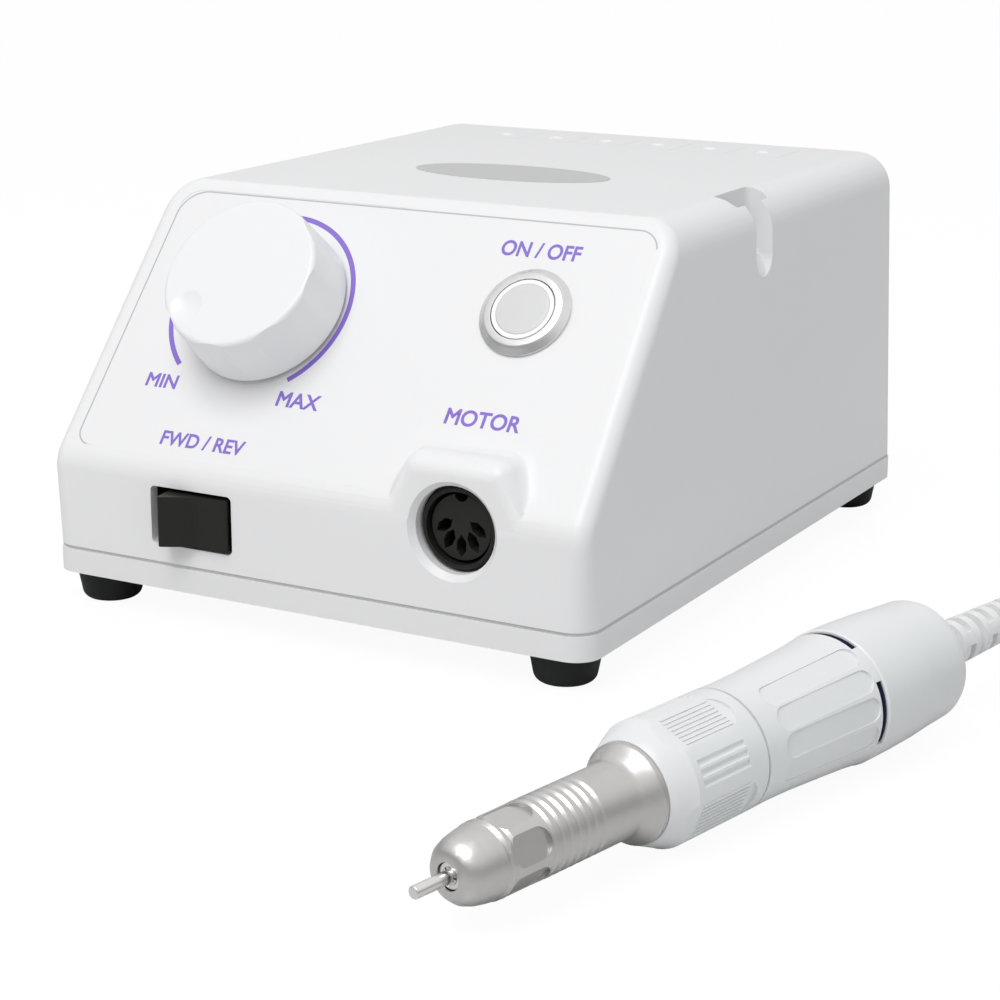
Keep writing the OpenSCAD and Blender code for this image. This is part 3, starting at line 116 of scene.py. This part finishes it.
def coil_point(u):
    phase = u / LAYER_TURNS
    layer = math.floor(phase)
    part = phase - layer
    swing = 1.0 - 2.0 * part if layer % 2 == 0 else 2.0 * part - 1.0
    level = sum(ease((u - k * LAYER_TURNS) / LAYER_RISE + 0.5) for k in range(1, COIL_LAYERS))
    angle = math.radians(180.0 + 360.0 * (u - COIL_TURNS))
    out = EAST * math.cos(angle) + NORTH * math.sin(angle)
    return COIL_MID + out * (COIL_R + COIL_SWING * swing) + Vector((0.0, 0.0, COIL_LOW + COIL_STEP * level))


def cord_route():
    per_turn = 24
    points = [TIP + AXIS * (S_END - INSIDE_BOOT * (1.0 - k / 4)) for k in range(5)]
    top = coil_point(COIL_TURNS) - NORTH * CORD_D
    points += [BOOT_END.lerp(top, k / 5) for k in range(1, 6)]
    steps = math.ceil(COIL_TURNS * per_turn)
    points += [coil_point(COIL_TURNS * (1.0 - k / steps)) for k in range(steps + 1)]
    low = coil_point(0.0) - NORTH * CORD_D
    rises = [(0.0, 0.0), (0.2, 0.02), (0.4, 0.25), (0.6, 0.75), (0.8, 0.98), (1.0, 1.0)]
    for along, up in rises:
        point = low.lerp(PLUG_REAR, along)
        point.z = low.z + (PLUG_REAR.z - low.z) * up
        points.append(point)
    points.append(PLUG_REAR - NORTH * INSIDE_GRIP)
    return [p * MM for p in points]


def make_cord():
    data = bpy.data.curves.new("cord", "CURVE")
    data.dimensions = "3D"
    data.bevel_depth = 1.0
    data.bevel_resolution = 5
    data.resolution_u = 4
    data.use_fill_caps = True
    route = cord_route()
    spline = data.splines.new("BEZIER")
    spline.bezier_points.add(len(route) - 1)
    for knot, place in zip(spline.bezier_points, route):
        knot.co = place
        knot.radius = CORD_D / 2 * MM
        knot.handle_left_type = "AUTO"
        knot.handle_right_type = "AUTO"
    cord = bpy.data.objects.new("cord", data)
    scene.collection.objects.link(cord)
    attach(cord, "handpiece")
    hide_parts("cord_lead", "cord_coil", "cord_tail")
    return cord


cord = make_cord()


# Materials
class Look:
    """A procedural material: one shader, with noise for its grain, its shade and its gloss."""

    def __init__(self, name, colour, roughness, metallic=0.0, **sockets):
        self.mat = bpy.data.materials.new(name)
        self.mat.use_nodes = True
        self.nodes = self.mat.node_tree.nodes
        self.links = self.mat.node_tree.links
        self.shader = self.nodes["Principled BSDF"]
        self.shader.inputs["Base Color"].default_value = (*colour, 1.0)
        self.shader.inputs["Roughness"].default_value = roughness
        self.shader.inputs["Metallic"].default_value = metallic
        for socket, value in sockets.items():
            self.shader.inputs[socket.replace("_", " ")].default_value = value
        self.colour = colour
        self.roughness = roughness
        self.coords = self.nodes.new("ShaderNodeTexCoord").outputs["Object"]

    def noise(self, scale, detail):
        node = self.nodes.new("ShaderNodeTexNoise")
        node.inputs["Scale"].default_value = scale
        node.inputs["Detail"].default_value = detail
        self.links.new(self.coords, node.inputs["Vector"])
        return node.outputs["Fac"]

    def shade(self, scale, spread):
        """Colour that drifts by a share of itself."""
        ramp = self.nodes.new("ShaderNodeValToRGB")
        ramp.color_ramp.elements[0].position = 0.3
        ramp.color_ramp.elements[1].position = 0.7
        low = [c * (1.0 - spread) for c in self.colour]
        high = [min(c * (1.0 + spread), 1.0) for c in self.colour]
        ramp.color_ramp.elements[0].color = (*low, 1.0)
        ramp.color_ramp.elements[1].color = (*high, 1.0)
        self.links.new(self.noise(scale, detail=3.0), ramp.inputs["Fac"])
        self.links.new(ramp.outputs["Color"], self.shader.inputs["Base Color"])

    def gloss(self, scale, spread):
        """Roughness that varies to both sides of its value."""
        node = self.nodes.new("ShaderNodeMapRange")
        node.inputs["To Min"].default_value = self.roughness - spread
        node.inputs["To Max"].default_value = self.roughness + spread
        self.links.new(self.noise(scale, detail=4.0), node.inputs["Value"])
        self.links.new(node.outputs["Result"], self.shader.inputs["Roughness"])

    def grain(self, scale, strength, distance):
        """Fine bumps, their height in metres."""
        bump = self.nodes.new("ShaderNodeBump")
        bump.inputs["Strength"].default_value = strength
        bump.inputs["Distance"].default_value = distance
        self.links.new(self.noise(scale, detail=2.0), bump.inputs["Height"])
        self.links.new(bump.outputs["Normal"], self.shader.inputs["Normal"])


def moulded(name, colour, roughness=0.38, shine=0.45):
    look = Look(name, colour, roughness, Specular_IOR_Level=shine)
    look.shade(scale=9.0, spread=0.008)
    look.gloss(scale=700.0, spread=0.05)
    look.grain(scale=2600.0, strength=0.05, distance=0.0001)
    return look.mat


def metal(name, colour, roughness):
    look = Look(name, colour, roughness, metallic=1.0)
    look.shade(scale=400.0, spread=0.02)
    look.gloss(scale=900.0, spread=0.03)
    look.grain(scale=1500.0, strength=0.03, distance=0.00005)
    return look.mat


def rubber(name, colour, roughness=0.6):
    look = Look(name, colour, roughness, Specular_IOR_Level=0.22)
    look.shade(scale=250.0, spread=0.15)
    look.gloss(scale=500.0, spread=0.08)
    look.grain(scale=3000.0, strength=0.15, distance=0.0001)
    return look.mat


SHELL_WHITE = (0.86, 0.86, 0.865)
MATERIALS = {
    "shell": moulded("shell_white", SHELL_WHITE),
    "tray": moulded("tray_white", (0.84, 0.84, 0.845)),
    "overlay": moulded("overlay_white", SHELL_WHITE, 0.34),
    "knob": moulded("knob_white", (0.875, 0.88, 0.885), 0.32),
    "grip": moulded("grip_white", (0.82, 0.83, 0.835), 0.34),
    "boot": moulded("boot_white", (0.86, 0.86, 0.86), 0.4),
    "cord": moulded("cord_white", (0.84, 0.84, 0.84), 0.45),
    "print": moulded("print_purple", (0.25, 0.155, 0.62), 0.4),
    # The lip grey is painted shade of the seam groove, on a lip that is white plastic
    "lip_shade": moulded("lip_painted_shade", (0.6, 0.6, 0.6), 0.5),
    # The edge grey is painted shadow, for the line where the overlay's edge step throws shade
    "edge": moulded("edge_shadow_grey", (0.5, 0.51, 0.52), 0.4),
    "badge": moulded("badge_grey", (0.55, 0.55, 0.55), 0.5),
    "steel": metal("nose_steel", (0.57, 0.56, 0.545), 0.36),
    "bright": metal("bright_steel", (0.72, 0.71, 0.7), 0.22),
    "flange": metal("flange_steel", (0.68, 0.68, 0.685), 0.24),
    "plated": metal("plated_steel", (0.6, 0.6, 0.6), 0.3),
    "gold": metal("contact_gold", (0.8, 0.6, 0.25), 0.28),
    "copper": metal("copper", (0.62, 0.35, 0.2), 0.35),
    "cap": moulded("cap_grey", (0.7, 0.7, 0.705), 0.3),
    "light": moulded("light_ring", (0.95, 0.95, 0.95), 0.3),
    "black": moulded("black_plastic", (0.02, 0.02, 0.018), 0.34, 0.16),
    "dull_black": moulded("dull_black", (0.021, 0.021, 0.0195), 0.45, 0.2),
    "rubber": rubber("foot_rubber", (0.011, 0.012, 0.012)),
    "can": moulded("can_blue", (0.02, 0.028, 0.075), 0.35),
    "board": moulded("board_green", (0.02, 0.12, 0.05), 0.35),
    "brown": moulded("board_brown", (0.2, 0.09, 0.03), 0.45),
    "blue": moulded("capacitor_blue", (0.02, 0.03, 0.12), 0.3),
    "iron": metal("core_iron", (0.3, 0.3, 0.3), 0.5),
    "tie": rubber("tie_grey", (0.12, 0.12, 0.12), 0.55),
}

NODE_LOOKS = {
    "upper_housing": "shell", "base_tray": "tray", "front_overlay": "overlay",
    "badge_plate": "badge", "rubber_feet": "rubber", "case_screws": "plated", "bit_cups": "shell",
    "pot_body": "plated", "pot_nut": "plated", "switch_barrel": "flange", "switch_nut": "plated",
    "rocker_frame": "dull_black", "socket_shell": "black", "socket_insert": "dull_black",
    "socket_contacts": "gold", "socket_nut": "black", "control_board": "board",
    "board_screws": "plated", "heat_sink": "iron", "power_transistor": "black",
    "capacitors": "blue", "transformer_core": "iron", "transformer_coil": "copper",
    "transformer_strap": "plated", "strap_screws": "plated", "inlet_body": "dull_black",
    "inlet_pins": "plated", "pedal_jack": "dull_black", "jack_nut": "plated", "speed_knob": "knob",
    "pot_shaft": "plated", "button_cap": "cap", "light_ring": "light", "rocker": "black",
    "nose_housing": "steel", "front_bearings": "plated", "chuck_ring": "grip", "spindle": "bright",
    "collet": "plated", "blank_pin": "bright", "rotor_shaft": "bright", "armature": "iron",
    "commutator": "copper", "motor_sleeve": "grip", "motor_can": "can", "magnets": "dull_black",
    "brush_plate": "brown", "brushes": "dull_black", "rear_bearing": "plated", "rear_cap": "grip",
    "strain_relief": "boot", "cord_tie": "tie", "plug_grip": "rubber", "plug_shell": "plated",
    "plug_insulator": "dull_black", "plug_pins": "gold",
}


def smooth_group(name, degrees):
    """Geometry nodes that shade smooth, with an edge sharp above the angle."""
    tree = bpy.data.node_groups.new(name, "GeometryNodeTree")
    tree.interface.new_socket("Geometry", in_out="INPUT", socket_type="NodeSocketGeometry")
    tree.interface.new_socket("Geometry", in_out="OUTPUT", socket_type="NodeSocketGeometry")
    start = tree.nodes.new("NodeGroupInput")
    end = tree.nodes.new("NodeGroupOutput")
    faces = tree.nodes.new("GeometryNodeSetShadeSmooth")
    edges = tree.nodes.new("GeometryNodeSetShadeSmooth")
    edges.domain = "EDGE"
    angle = tree.nodes.new("GeometryNodeInputMeshEdgeAngle")
    compare = tree.nodes.new("FunctionNodeCompare")
    compare.operation = "LESS_EQUAL"
    compare.inputs[1].default_value = math.radians(degrees)
    tree.links.new(start.outputs[0], faces.inputs["Geometry"])
    tree.links.new(faces.outputs["Geometry"], edges.inputs["Geometry"])
    tree.links.new(angle.outputs["Unsigned Angle"], compare.inputs[0])
    tree.links.new(compare.outputs["Result"], edges.inputs["Shade Smooth"])
    tree.links.new(edges.outputs["Geometry"], end.inputs[0])
    return tree


SMOOTH_BELOW = 32.0
BEVEL_ABOVE = 38.0
FLAT_WITHIN = 0.4
WELD_WITHIN = 0.000002
SMOOTH = smooth_group("smooth_by_angle", SMOOTH_BELOW)


def soften(obj, bevel):
    """Welds a CAD mesh, rounds its edges by a width in millimetres, if any, and shades it smooth."""
    weld = obj.modifiers.new("weld", "WELD")
    weld.merge_threshold = WELD_WITHIN
    if bevel:
        flat = obj.modifiers.new("flatten", "DECIMATE")
        flat.decimate_type = "DISSOLVE"
        flat.angle_limit = math.radians(FLAT_WITHIN)
        edge = obj.modifiers.new("bevel", "BEVEL")
        edge.width = bevel * MM
        edge.segments = 2
        edge.limit_method = "ANGLE"
        edge.angle_limit = math.radians(BEVEL_ABOVE)
        edge.use_clamp_overlap = True
    smooth = obj.modifiers.new("smooth", "NODES")
    smooth.node_group = SMOOTH
    weighted = obj.modifiers.new("weighted", "WEIGHTED_NORMAL")
    weighted.keep_sharp = True


NODE_BEVELS = {"rocker": 0.6, "rocker_frame": 0.25, "badge_plate": 0.08}

for name, look in NODE_LOOKS.items():
    obj = nodes[name]
    obj.data.materials.clear()
    obj.data.materials.append(MATERIALS[look])
    soften(obj, NODE_BEVELS.get(name, 0.0))
cord.data.materials.append(MATERIALS["cord"])


# New pieces
def new_piece(name, mesh, look):
    """An object from a mesh already in its place."""
    mesh.materials.clear()
    mesh.materials.append(look)
    piece = bpy.data.objects.new(name, mesh)
    scene.collection.objects.link(piece)
    return piece


def box_piece(name, mesh, look):
    """A new piece of the control box."""
    piece = new_piece(name, mesh, look)
    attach(piece, "box")
    return piece


def mesh_of(name, bm):
    mesh = bpy.data.meshes.new(name)
    bm.to_mesh(mesh)
    bm.free()
    return mesh


def swept(name, sections, closed):
    """A mesh through sections of points, closed to a ring or with two end faces."""
    bm = bmesh.new()
    rows = [[bm.verts.new(point) for point in section] for section in sections]
    ahead = rows[1:] + rows[:1] if closed else rows[1:]
    sides = len(rows[0])
    for a, b in zip(rows, ahead):
        for k in range(sides):
            after = (k + 1) % sides
            bm.faces.new((a[k], b[k], b[after], a[after]))
    if not closed:
        bm.faces.new(reversed(rows[0]))
        bm.faces.new(rows[-1])
    bmesh.ops.recalc_face_normals(bm, faces=bm.faces[:])
    return mesh_of(name, bm)


# Printed marks on the overlay, laid out in the slope's own plane
Y_FRONT = -88.8
Z_CREASE = 35.1
SLOPE_RISE, SLOPE_RUN = 57.8, 48.2
SLOPE = math.atan2(SLOPE_RISE, SLOPE_RUN)
PRINT_T = 0.04
LETTER_SPREAD = 0.022


def on_slope(x, s, out=0.0):
    y = Y_FRONT + s * math.cos(SLOPE) - out * math.sin(SLOPE)
    return Vector((x, y, Z_CREASE + s * math.sin(SLOPE) + out * math.cos(SLOPE)))


def slope_piece(name, mesh, look):
    """A mesh drawn in millimetres in the slope's plane, set on the overlay."""
    for v in mesh.vertices:
        v.co = on_slope(*v.co) * MM
    return box_piece(name, mesh, look)


def label(name, words, left, right, low, high):
    """Printed words that fill a box on the slope."""
    text = bpy.data.curves.new(name, "FONT")
    text.body = words
    text.extrude = 0.01
    text.bevel_depth = LETTER_SPREAD
    text.bevel_resolution = 0
    text.resolution_u = 6
    carrier = bpy.data.objects.new(name + "_text", text)
    scene.collection.objects.link(carrier)
    bpy.context.view_layer.update()
    mesh = bpy.data.meshes.new_from_object(carrier.evaluated_get(bpy.context.evaluated_depsgraph_get()))
    bpy.data.objects.remove(carrier)
    spots = [v.co for v in mesh.vertices]
    x0, x1 = min(p.x for p in spots), max(p.x for p in spots)
    y0, y1 = min(p.y for p in spots), max(p.y for p in spots)
    for v in mesh.vertices:
        v.co.x = left + (v.co.x - x0) * (right - left) / (x1 - x0)
        v.co.y = low + (v.co.y - y0) * (high - low) / (y1 - y0)
        v.co.z = PRINT_T if v.co.z > 0 else -PRINT_T / 2
    return slope_piece(name, mesh, MATERIALS["print"])


label("label_on_off", "ON / OFF", left=26.5, right=46.1, low=62.7, high=66.6)
label("label_motor", "MOTOR", left=27.8, right=46.15, low=20.65, high=24.6)
label("label_min", "MIN", left=-51.2, right=-42.8, low=20.1, high=23.6)
label("label_max", "MAX", left=-15.1, right=-3.95, low=19.45, high=23.2)
label("label_fwd_rev", "FWD / REV", left=-41.0, right=-18.6, low=6.25, high=9.85)


def slope_line(name, path, width, look, height=PRINT_T):
    """A line of even width along points on the slope."""
    corners = [(-1, -height / 2), (1, -height / 2), (1, height), (-1, height)]
    sections = []
    for k, (x, s) in enumerate(path):
        x0, s0 = path[max(k - 1, 0)]
        x1, s1 = path[min(k + 1, len(path) - 1)]
        side = Vector((s0 - s1, x1 - x0, 0.0)).normalized() * width / 2
        mid = Vector((x, s, 0.0))
        sections.append([mid + side * way + Vector((0, 0, z)) for way, z in corners])
    return slope_piece(name, swept(name, sections, closed=False), look)


def arc(x, s, radius, start, end, steps):
    turns = [math.radians(start + (end - start) * k / steps) for k in range(steps + 1)]
    return [(x + radius * math.cos(t), s + radius * math.sin(t)) for t in turns]


DIAL_X, DIAL_S, DIAL_R = -29.0, 44.0, 23.15
DIAL_MIN, DIAL_MAX = 229.0, -51.0
DIAL_W = 1.2
dial = arc(DIAL_X, DIAL_S, DIAL_R, start=DIAL_MIN, end=DIAL_MAX, steps=120)
slope_line("dial_arc", dial, DIAL_W, MATERIALS["print"])

# Painted shadow line along the overlay's edge step: up its left side, along its top and round its right
# corner
EDGE_LOW, EDGE_HIGH = 3.66, 71.9
HALF_LOW, HALF_HIGH = 63.57, 61.96
FOOT_R, HEAD_R = 3.7, 7.0
RIGHT_END, RIGHT_R = 63.4, 5.4
SHEET_R = 5.7
EDGE_SHADOW_W = 0.34
SHEET_HIGH = 72.2


def overlay_edge_shadow():
    lean = math.degrees(math.atan2(HALF_LOW - HALF_HIGH, EDGE_HIGH - EDGE_LOW))
    side = 180.0 - lean
    left = arc(FOOT_R - HALF_LOW, EDGE_LOW + FOOT_R, FOOT_R, start=260.0, end=side, steps=10)
    head = arc(HEAD_R - HALF_HIGH, EDGE_HIGH - HEAD_R, HEAD_R, start=side, end=90.0, steps=12)
    right = arc(RIGHT_END - RIGHT_R, EDGE_HIGH - RIGHT_R, RIGHT_R, start=90.0, end=12.0, steps=12)
    return left + head + right


slope_line("overlay_edge_shadow", overlay_edge_shadow(), EDGE_SHADOW_W, MATERIALS["edge"])

# Bead that closes the sheet's joint where no line shows: below, round the hump, and along the right and top
BEAD_W, BEAD_T = 0.8, 0.02
WINDOW_TOP = 20.9
WINDOW_FEET = (14.5, 60.5)
WINDOW_HEADS = (22.5, 52.5)


def rounded_path(corners):
    """Points along (x, s, radius) corners, with each corner rounded."""
    path = [Vector(corners[0][:2])]
    for before, corner, after in zip(corners, corners[1:], corners[2:]):
        at = Vector(corner[:2])
        back, on = (Vector(before[:2]) - at).normalized(), (Vector(after[:2]) - at).normalized()
        reach = corner[2] / math.tan(back.angle(on) / 2)
        start, end = at + back * reach, at + on * reach
        for t in (k / 8 for k in range(9)):
            path.append(start.lerp(at, t).lerp(at.lerp(end, t), t))
    path.append(Vector(corners[-1][:2]))
    return [tuple(p) for p in path]


bead = rounded_path([(1.0 - HALF_LOW + FOOT_R, EDGE_LOW, 0.0), (WINDOW_FEET[0], EDGE_LOW, 3.0),
                     (WINDOW_HEADS[0], WINDOW_TOP, 4.0), (WINDOW_HEADS[1], WINDOW_TOP, 4.0),
                     (WINDOW_FEET[1], EDGE_LOW, 0.8), (HALF_LOW, EDGE_LOW, 1.2),
                     (HALF_HIGH, SHEET_HIGH, SHEET_R), (0.0, SHEET_HIGH, 0.0)])
slope_line("overlay_bead", bead, BEAD_W, MATERIALS["overlay"], BEAD_T)

# Concave blend where the socket hump rises out of the slope
HUMP_X = 37.5
HUMP_HALF = 9.0
HUMP_R = 4.5
HUMP_TOP = Z_CREASE + 12.2 - HUMP_R
HUMP_RUN = 15.0
HUMP_LEAN = math.radians(60.0)
HUMP_FRONT = Y_FRONT + HUMP_R + 0.15
HUMP_BACK = HUMP_FRONT + 14.0
HUMP_LOW_HALF = HUMP_HALF + HUMP_RUN * math.cos(HUMP_LEAN)
HUMP_LOW = HUMP_TOP - HUMP_RUN * math.sin(HUMP_LEAN)
HUMP_CORNERS = [Vector((-HUMP_LOW_HALF, HUMP_LOW)), Vector((HUMP_LOW_HALF, HUMP_LOW)),
                Vector((HUMP_HALF, HUMP_TOP)), Vector((-HUMP_HALF, HUMP_TOP))]
CREASE_R = 9.0
CREASE_MID = Vector((Y_FRONT + CREASE_R, Z_CREASE - CREASE_R * (1.0 - math.sin(SLOPE)) / math.cos(SLOPE)))
BLEND = 3.0
BLEND_START = 1.2
BLEND_FULL = 4.5
RAY_START = 24.0
RAY_STEPS = 60
RAY_NEAR = 0.0005
SKIN = 0.006


def outline_distance(point, corners):
    near = []
    inside = True
    for a, b in zip(corners, corners[1:] + corners[:1]):
        edge, reach = b - a, point - a
        along = min(max(reach.dot(edge) / edge.length_squared, 0.0), 1.0)
        near.append((reach - edge * along).length)
        inside = inside and edge.x * reach.y >= edge.y * reach.x
    return -min(near) if inside else min(near)


def hump_distance(p):
    flat = outline_distance(Vector((p.x - HUMP_X, p.z)), HUMP_CORNERS)
    deep = max(HUMP_FRONT - p.y, p.y - HUMP_BACK)
    return min(max(flat, deep), 0.0) + math.hypot(max(flat, 0.0), max(deep, 0.0)) - HUMP_R


def case_distance(p):
    q = Vector((p.y, p.z)) - CREASE_MID
    if q.y > 0.0 and q.x * math.cos(SLOPE) + q.y * math.sin(SLOPE) < 0.0:
        return q.length - CREASE_R
    slope = (p.z - Z_CREASE) * math.cos(SLOPE) - (p.y - Y_FRONT) * math.sin(SLOPE)
    return max(slope, Y_FRONT - p.y)


def normal_of(distance, p):
    step = 0.02
    ways = [Vector((step, 0, 0)), Vector((0, step, 0)), Vector((0, 0, step))]
    return Vector([distance(p + w) - distance(p - w) for w in ways]).normalized()


def blend_point(x, s):
    """The union's outer surface above a place on the slope, lifted where hump and case meet."""
    ray = on_slope(0, 0, 1) - on_slope(0, 0)
    p = on_slope(x, s, RAY_START)
    for _ in range(RAY_STEPS):
        gap = min(hump_distance(p), case_distance(p))
        p = p - ray * gap
        if gap < RAY_NEAR:
            break
    share = max(BLEND - abs(hump_distance(p) - case_distance(p)), 0.0) / BLEND
    share *= ease((p.y - Y_FRONT - BLEND_START) / (BLEND_FULL - BLEND_START))
    if share == 0.0:
        return p, 0.0
    hump, case = normal_of(hump_distance, p), normal_of(case_distance, p)
    lift = 0.25 * BLEND * share * share * (1.0 - hump.dot(case))
    return p + (hump + case).normalized() * (lift + SKIN), lift


def hump_blend():
    step, least = 0.5, 0.012
    across, up, low = 106, 76, -9.0
    points = {(i, k): blend_point(HUMP_X + (i - across / 2) * step, low + k * step)
              for i in range(across + 1) for k in range(up + 1)}
    bm = bmesh.new()
    verts = {}
    for i in range(across):
        for k in range(up):
            cell = [(i, k), (i + 1, k), (i + 1, k + 1), (i, k + 1)]
            if max(points[c][1] for c in cell) < least:
                continue
            for c in cell:
                if c not in verts:
                    verts[c] = bm.verts.new(points[c][0] * MM)
            bm.faces.new([verts[c] for c in cell])
    for face in bm.faces:
        face.smooth = True
    return box_piece("hump_blend", mesh_of("hump_blend", bm), MATERIALS["shell"])


hump_blend()


# Light grey lip just inside the seam between tray and housing, for its inner lip: the grey is painted shade
# of the seam groove
HALF_W, HALF_D = 70.0, 88.8
CORNER_R = 6.0
SEAM_MID = 13.3
SEAM_HALF = 0.39
LIP_IN = 0.35
LIP_T = 0.8


def seam_lip():
    outer, inner = CORNER_R - LIP_IN, CORNER_R - LIP_IN - LIP_T
    corners = [(outer, -SEAM_HALF), (outer, SEAM_HALF), (inner, SEAM_HALF), (inner, -SEAM_HALF)]
    steps = 8
    sections = []
    for quarter, (sx, sy) in enumerate(((1, 1), (-1, 1), (-1, -1), (1, -1))):
        mid = Vector((sx * (HALF_W - CORNER_R), sy * (HALF_D - CORNER_R), SEAM_MID))
        for k in range(steps + 1):
            turn = math.radians(90.0 * (quarter + k / steps))
            out = Vector((math.cos(turn), math.sin(turn), 0.0))
            sections.append([(mid + out * r + Vector((0.0, 0.0, z))) * MM for r, z in corners])
    return box_piece("seam_lip", swept("seam_lip", sections, closed=True), MATERIALS["lip_shade"])


seam_lip()


# Dark ring behind the sleeve's rear windows, where the motor can shows
def vent_shade():
    inner, outer = 10.7, 12.95
    front, rear = S_CAP - 0.25, S_CAP - 0.02
    corners = [(inner, front), (outer, front), (outer, rear), (inner, rear)]
    lift = EAST.cross(AXIS).normalized()
    steps = 64
    sections = []
    for k in range(steps):
        turn = 2.0 * math.pi * k / steps
        way = EAST * math.cos(turn) + lift * math.sin(turn)
        sections.append([(TIP + AXIS * s + way * r) * MM for r, s in corners])
    piece = new_piece("vent_shade", swept("vent_shade", sections, closed=True), MATERIALS["can"])
    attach(piece, "handpiece")


vent_shade()


# Studio: white surroundings, one wide soft lamp above the front, a weak cool one at the right, a pale floor
def link_nodes(tree, *pairs):
    for a, b in pairs:
        tree.links.new(a, b)


def seen_rays(tree):
    """1 for what the camera sees straight or through glass, 0 for light that falls on the object."""
    path = tree.nodes.new("ShaderNodeLightPath")
    either = tree.nodes.new("ShaderNodeMath")
    either.operation = "MAXIMUM"
    link_nodes(tree, (path.outputs["Is Camera Ray"], either.inputs[0]),
               (path.outputs["Is Transmission Ray"], either.inputs[1]))
    return either.outputs[0]


AMBIENT = 0.55
HORIZON = 0.4
HIGH_SKY = 0.7
FLOOR_HALF = 6.0
FLOOR_WHITE = 0.75
FLOOR_ROUGH = 0.16
FLOOR_GLOW = 1.045
FLOOR_GLOW_SHARE = 0.9


def sky_shade(tree):
    """The studio as gloss mirrors it: bright overhead, greyer towards the horizon."""
    coords = tree.nodes.new("ShaderNodeTexCoord")
    parts = tree.nodes.new("ShaderNodeSeparateXYZ")
    shade = tree.nodes.new("ShaderNodeMapRange")
    shade.interpolation_type = "SMOOTHSTEP"
    shade.inputs["From Max"].default_value = HIGH_SKY
    shade.inputs["To Min"].default_value = HORIZON
    room = tree.nodes.new("ShaderNodeBackground")
    link_nodes(tree, (coords.outputs["Generated"], parts.inputs[0]),
               (parts.outputs["Z"], shade.inputs["Value"]),
               (shade.outputs["Result"], room.inputs["Color"]))
    return room.outputs[0]


def make_world():
    world = bpy.data.worlds.new("studio")
    scene.world = world
    world.use_nodes = True
    tree = world.node_tree
    tree.nodes.clear()
    light = tree.nodes.new("ShaderNodeBackground")
    light.inputs["Color"].default_value = (AMBIENT, AMBIENT, AMBIENT * 1.01, 1.0)
    seen = tree.nodes.new("ShaderNodeBackground")
    seen.inputs["Color"].default_value = (1.0, 1.0, 1.0, 1.0)
    path = tree.nodes.new("ShaderNodeLightPath")
    mirrored = tree.nodes.new("ShaderNodeMixShader")
    mix = tree.nodes.new("ShaderNodeMixShader")
    out = tree.nodes.new("ShaderNodeOutputWorld")
    link_nodes(tree, (path.outputs["Is Glossy Ray"], mirrored.inputs["Fac"]),
               (light.outputs[0], mirrored.inputs[1]),
               (sky_shade(tree), mirrored.inputs[2]), (seen_rays(tree), mix.inputs["Fac"]),
               (mirrored.outputs[0], mix.inputs[1]), (seen.outputs[0], mix.inputs[2]),
               (mix.outputs[0], out.inputs["Surface"]))


LAMPS_AIM = Vector((0.0, 0.0, 0.05))


def make_lamp(name, place, size, power, colour=(1.0, 1.0, 1.0)):
    data = bpy.data.lights.new(name, "AREA")
    data.shape = "SQUARE"
    data.size = size
    data.energy = power
    data.color = colour
    lamp = bpy.data.objects.new(name, data)
    lamp.location = place
    lamp.rotation_euler = (LAMPS_AIM - Vector(place)).to_track_quat("-Z", "Y").to_euler()
    scene.collection.objects.link(lamp)
    return lamp


def make_floor():
    mesh = bpy.data.meshes.new("floor")
    corners = [(x * FLOOR_HALF, y * FLOOR_HALF, 0) for x, y in ((-1, -1), (1, -1), (1, 1), (-1, 1))]
    mesh.from_pydata(corners, [], [(0, 1, 2, 3)])
    floor = bpy.data.objects.new("floor", mesh)
    scene.collection.objects.link(floor)
    mat = bpy.data.materials.new("floor_white")
    mat.use_nodes = True
    tree = mat.node_tree
    plain = tree.nodes["Principled BSDF"]
    plain.inputs["Base Color"].default_value = (FLOOR_WHITE, FLOOR_WHITE, FLOOR_WHITE, 1.0)
    plain.inputs["Roughness"].default_value = FLOOR_ROUGH
    glow = tree.nodes.new("ShaderNodeEmission")
    glow.inputs["Strength"].default_value = FLOOR_GLOW
    share = tree.nodes.new("ShaderNodeMath")
    share.operation = "MULTIPLY"
    share.inputs[1].default_value = FLOOR_GLOW_SHARE
    mix = tree.nodes.new("ShaderNodeMixShader")
    link_nodes(tree, (seen_rays(tree), share.inputs[0]), (share.outputs[0], mix.inputs["Fac"]),
               (plain.outputs[0], mix.inputs[1]), (glow.outputs[0], mix.inputs[2]),
               (mix.outputs[0], tree.nodes["Material Output"].inputs["Surface"]))
    mesh.materials.append(mat)


make_world()
make_floor()
make_lamp("key", place=(0.0, -0.823, 1.388), size=0.9, power=12.8)
fill = make_lamp("fill", place=(1.35, 0.25, 0.45), size=1.0, power=0.55, colour=(0.35, 0.95, 1.0))
fill.visible_glossy = False

bpy.context.view_layer.update()
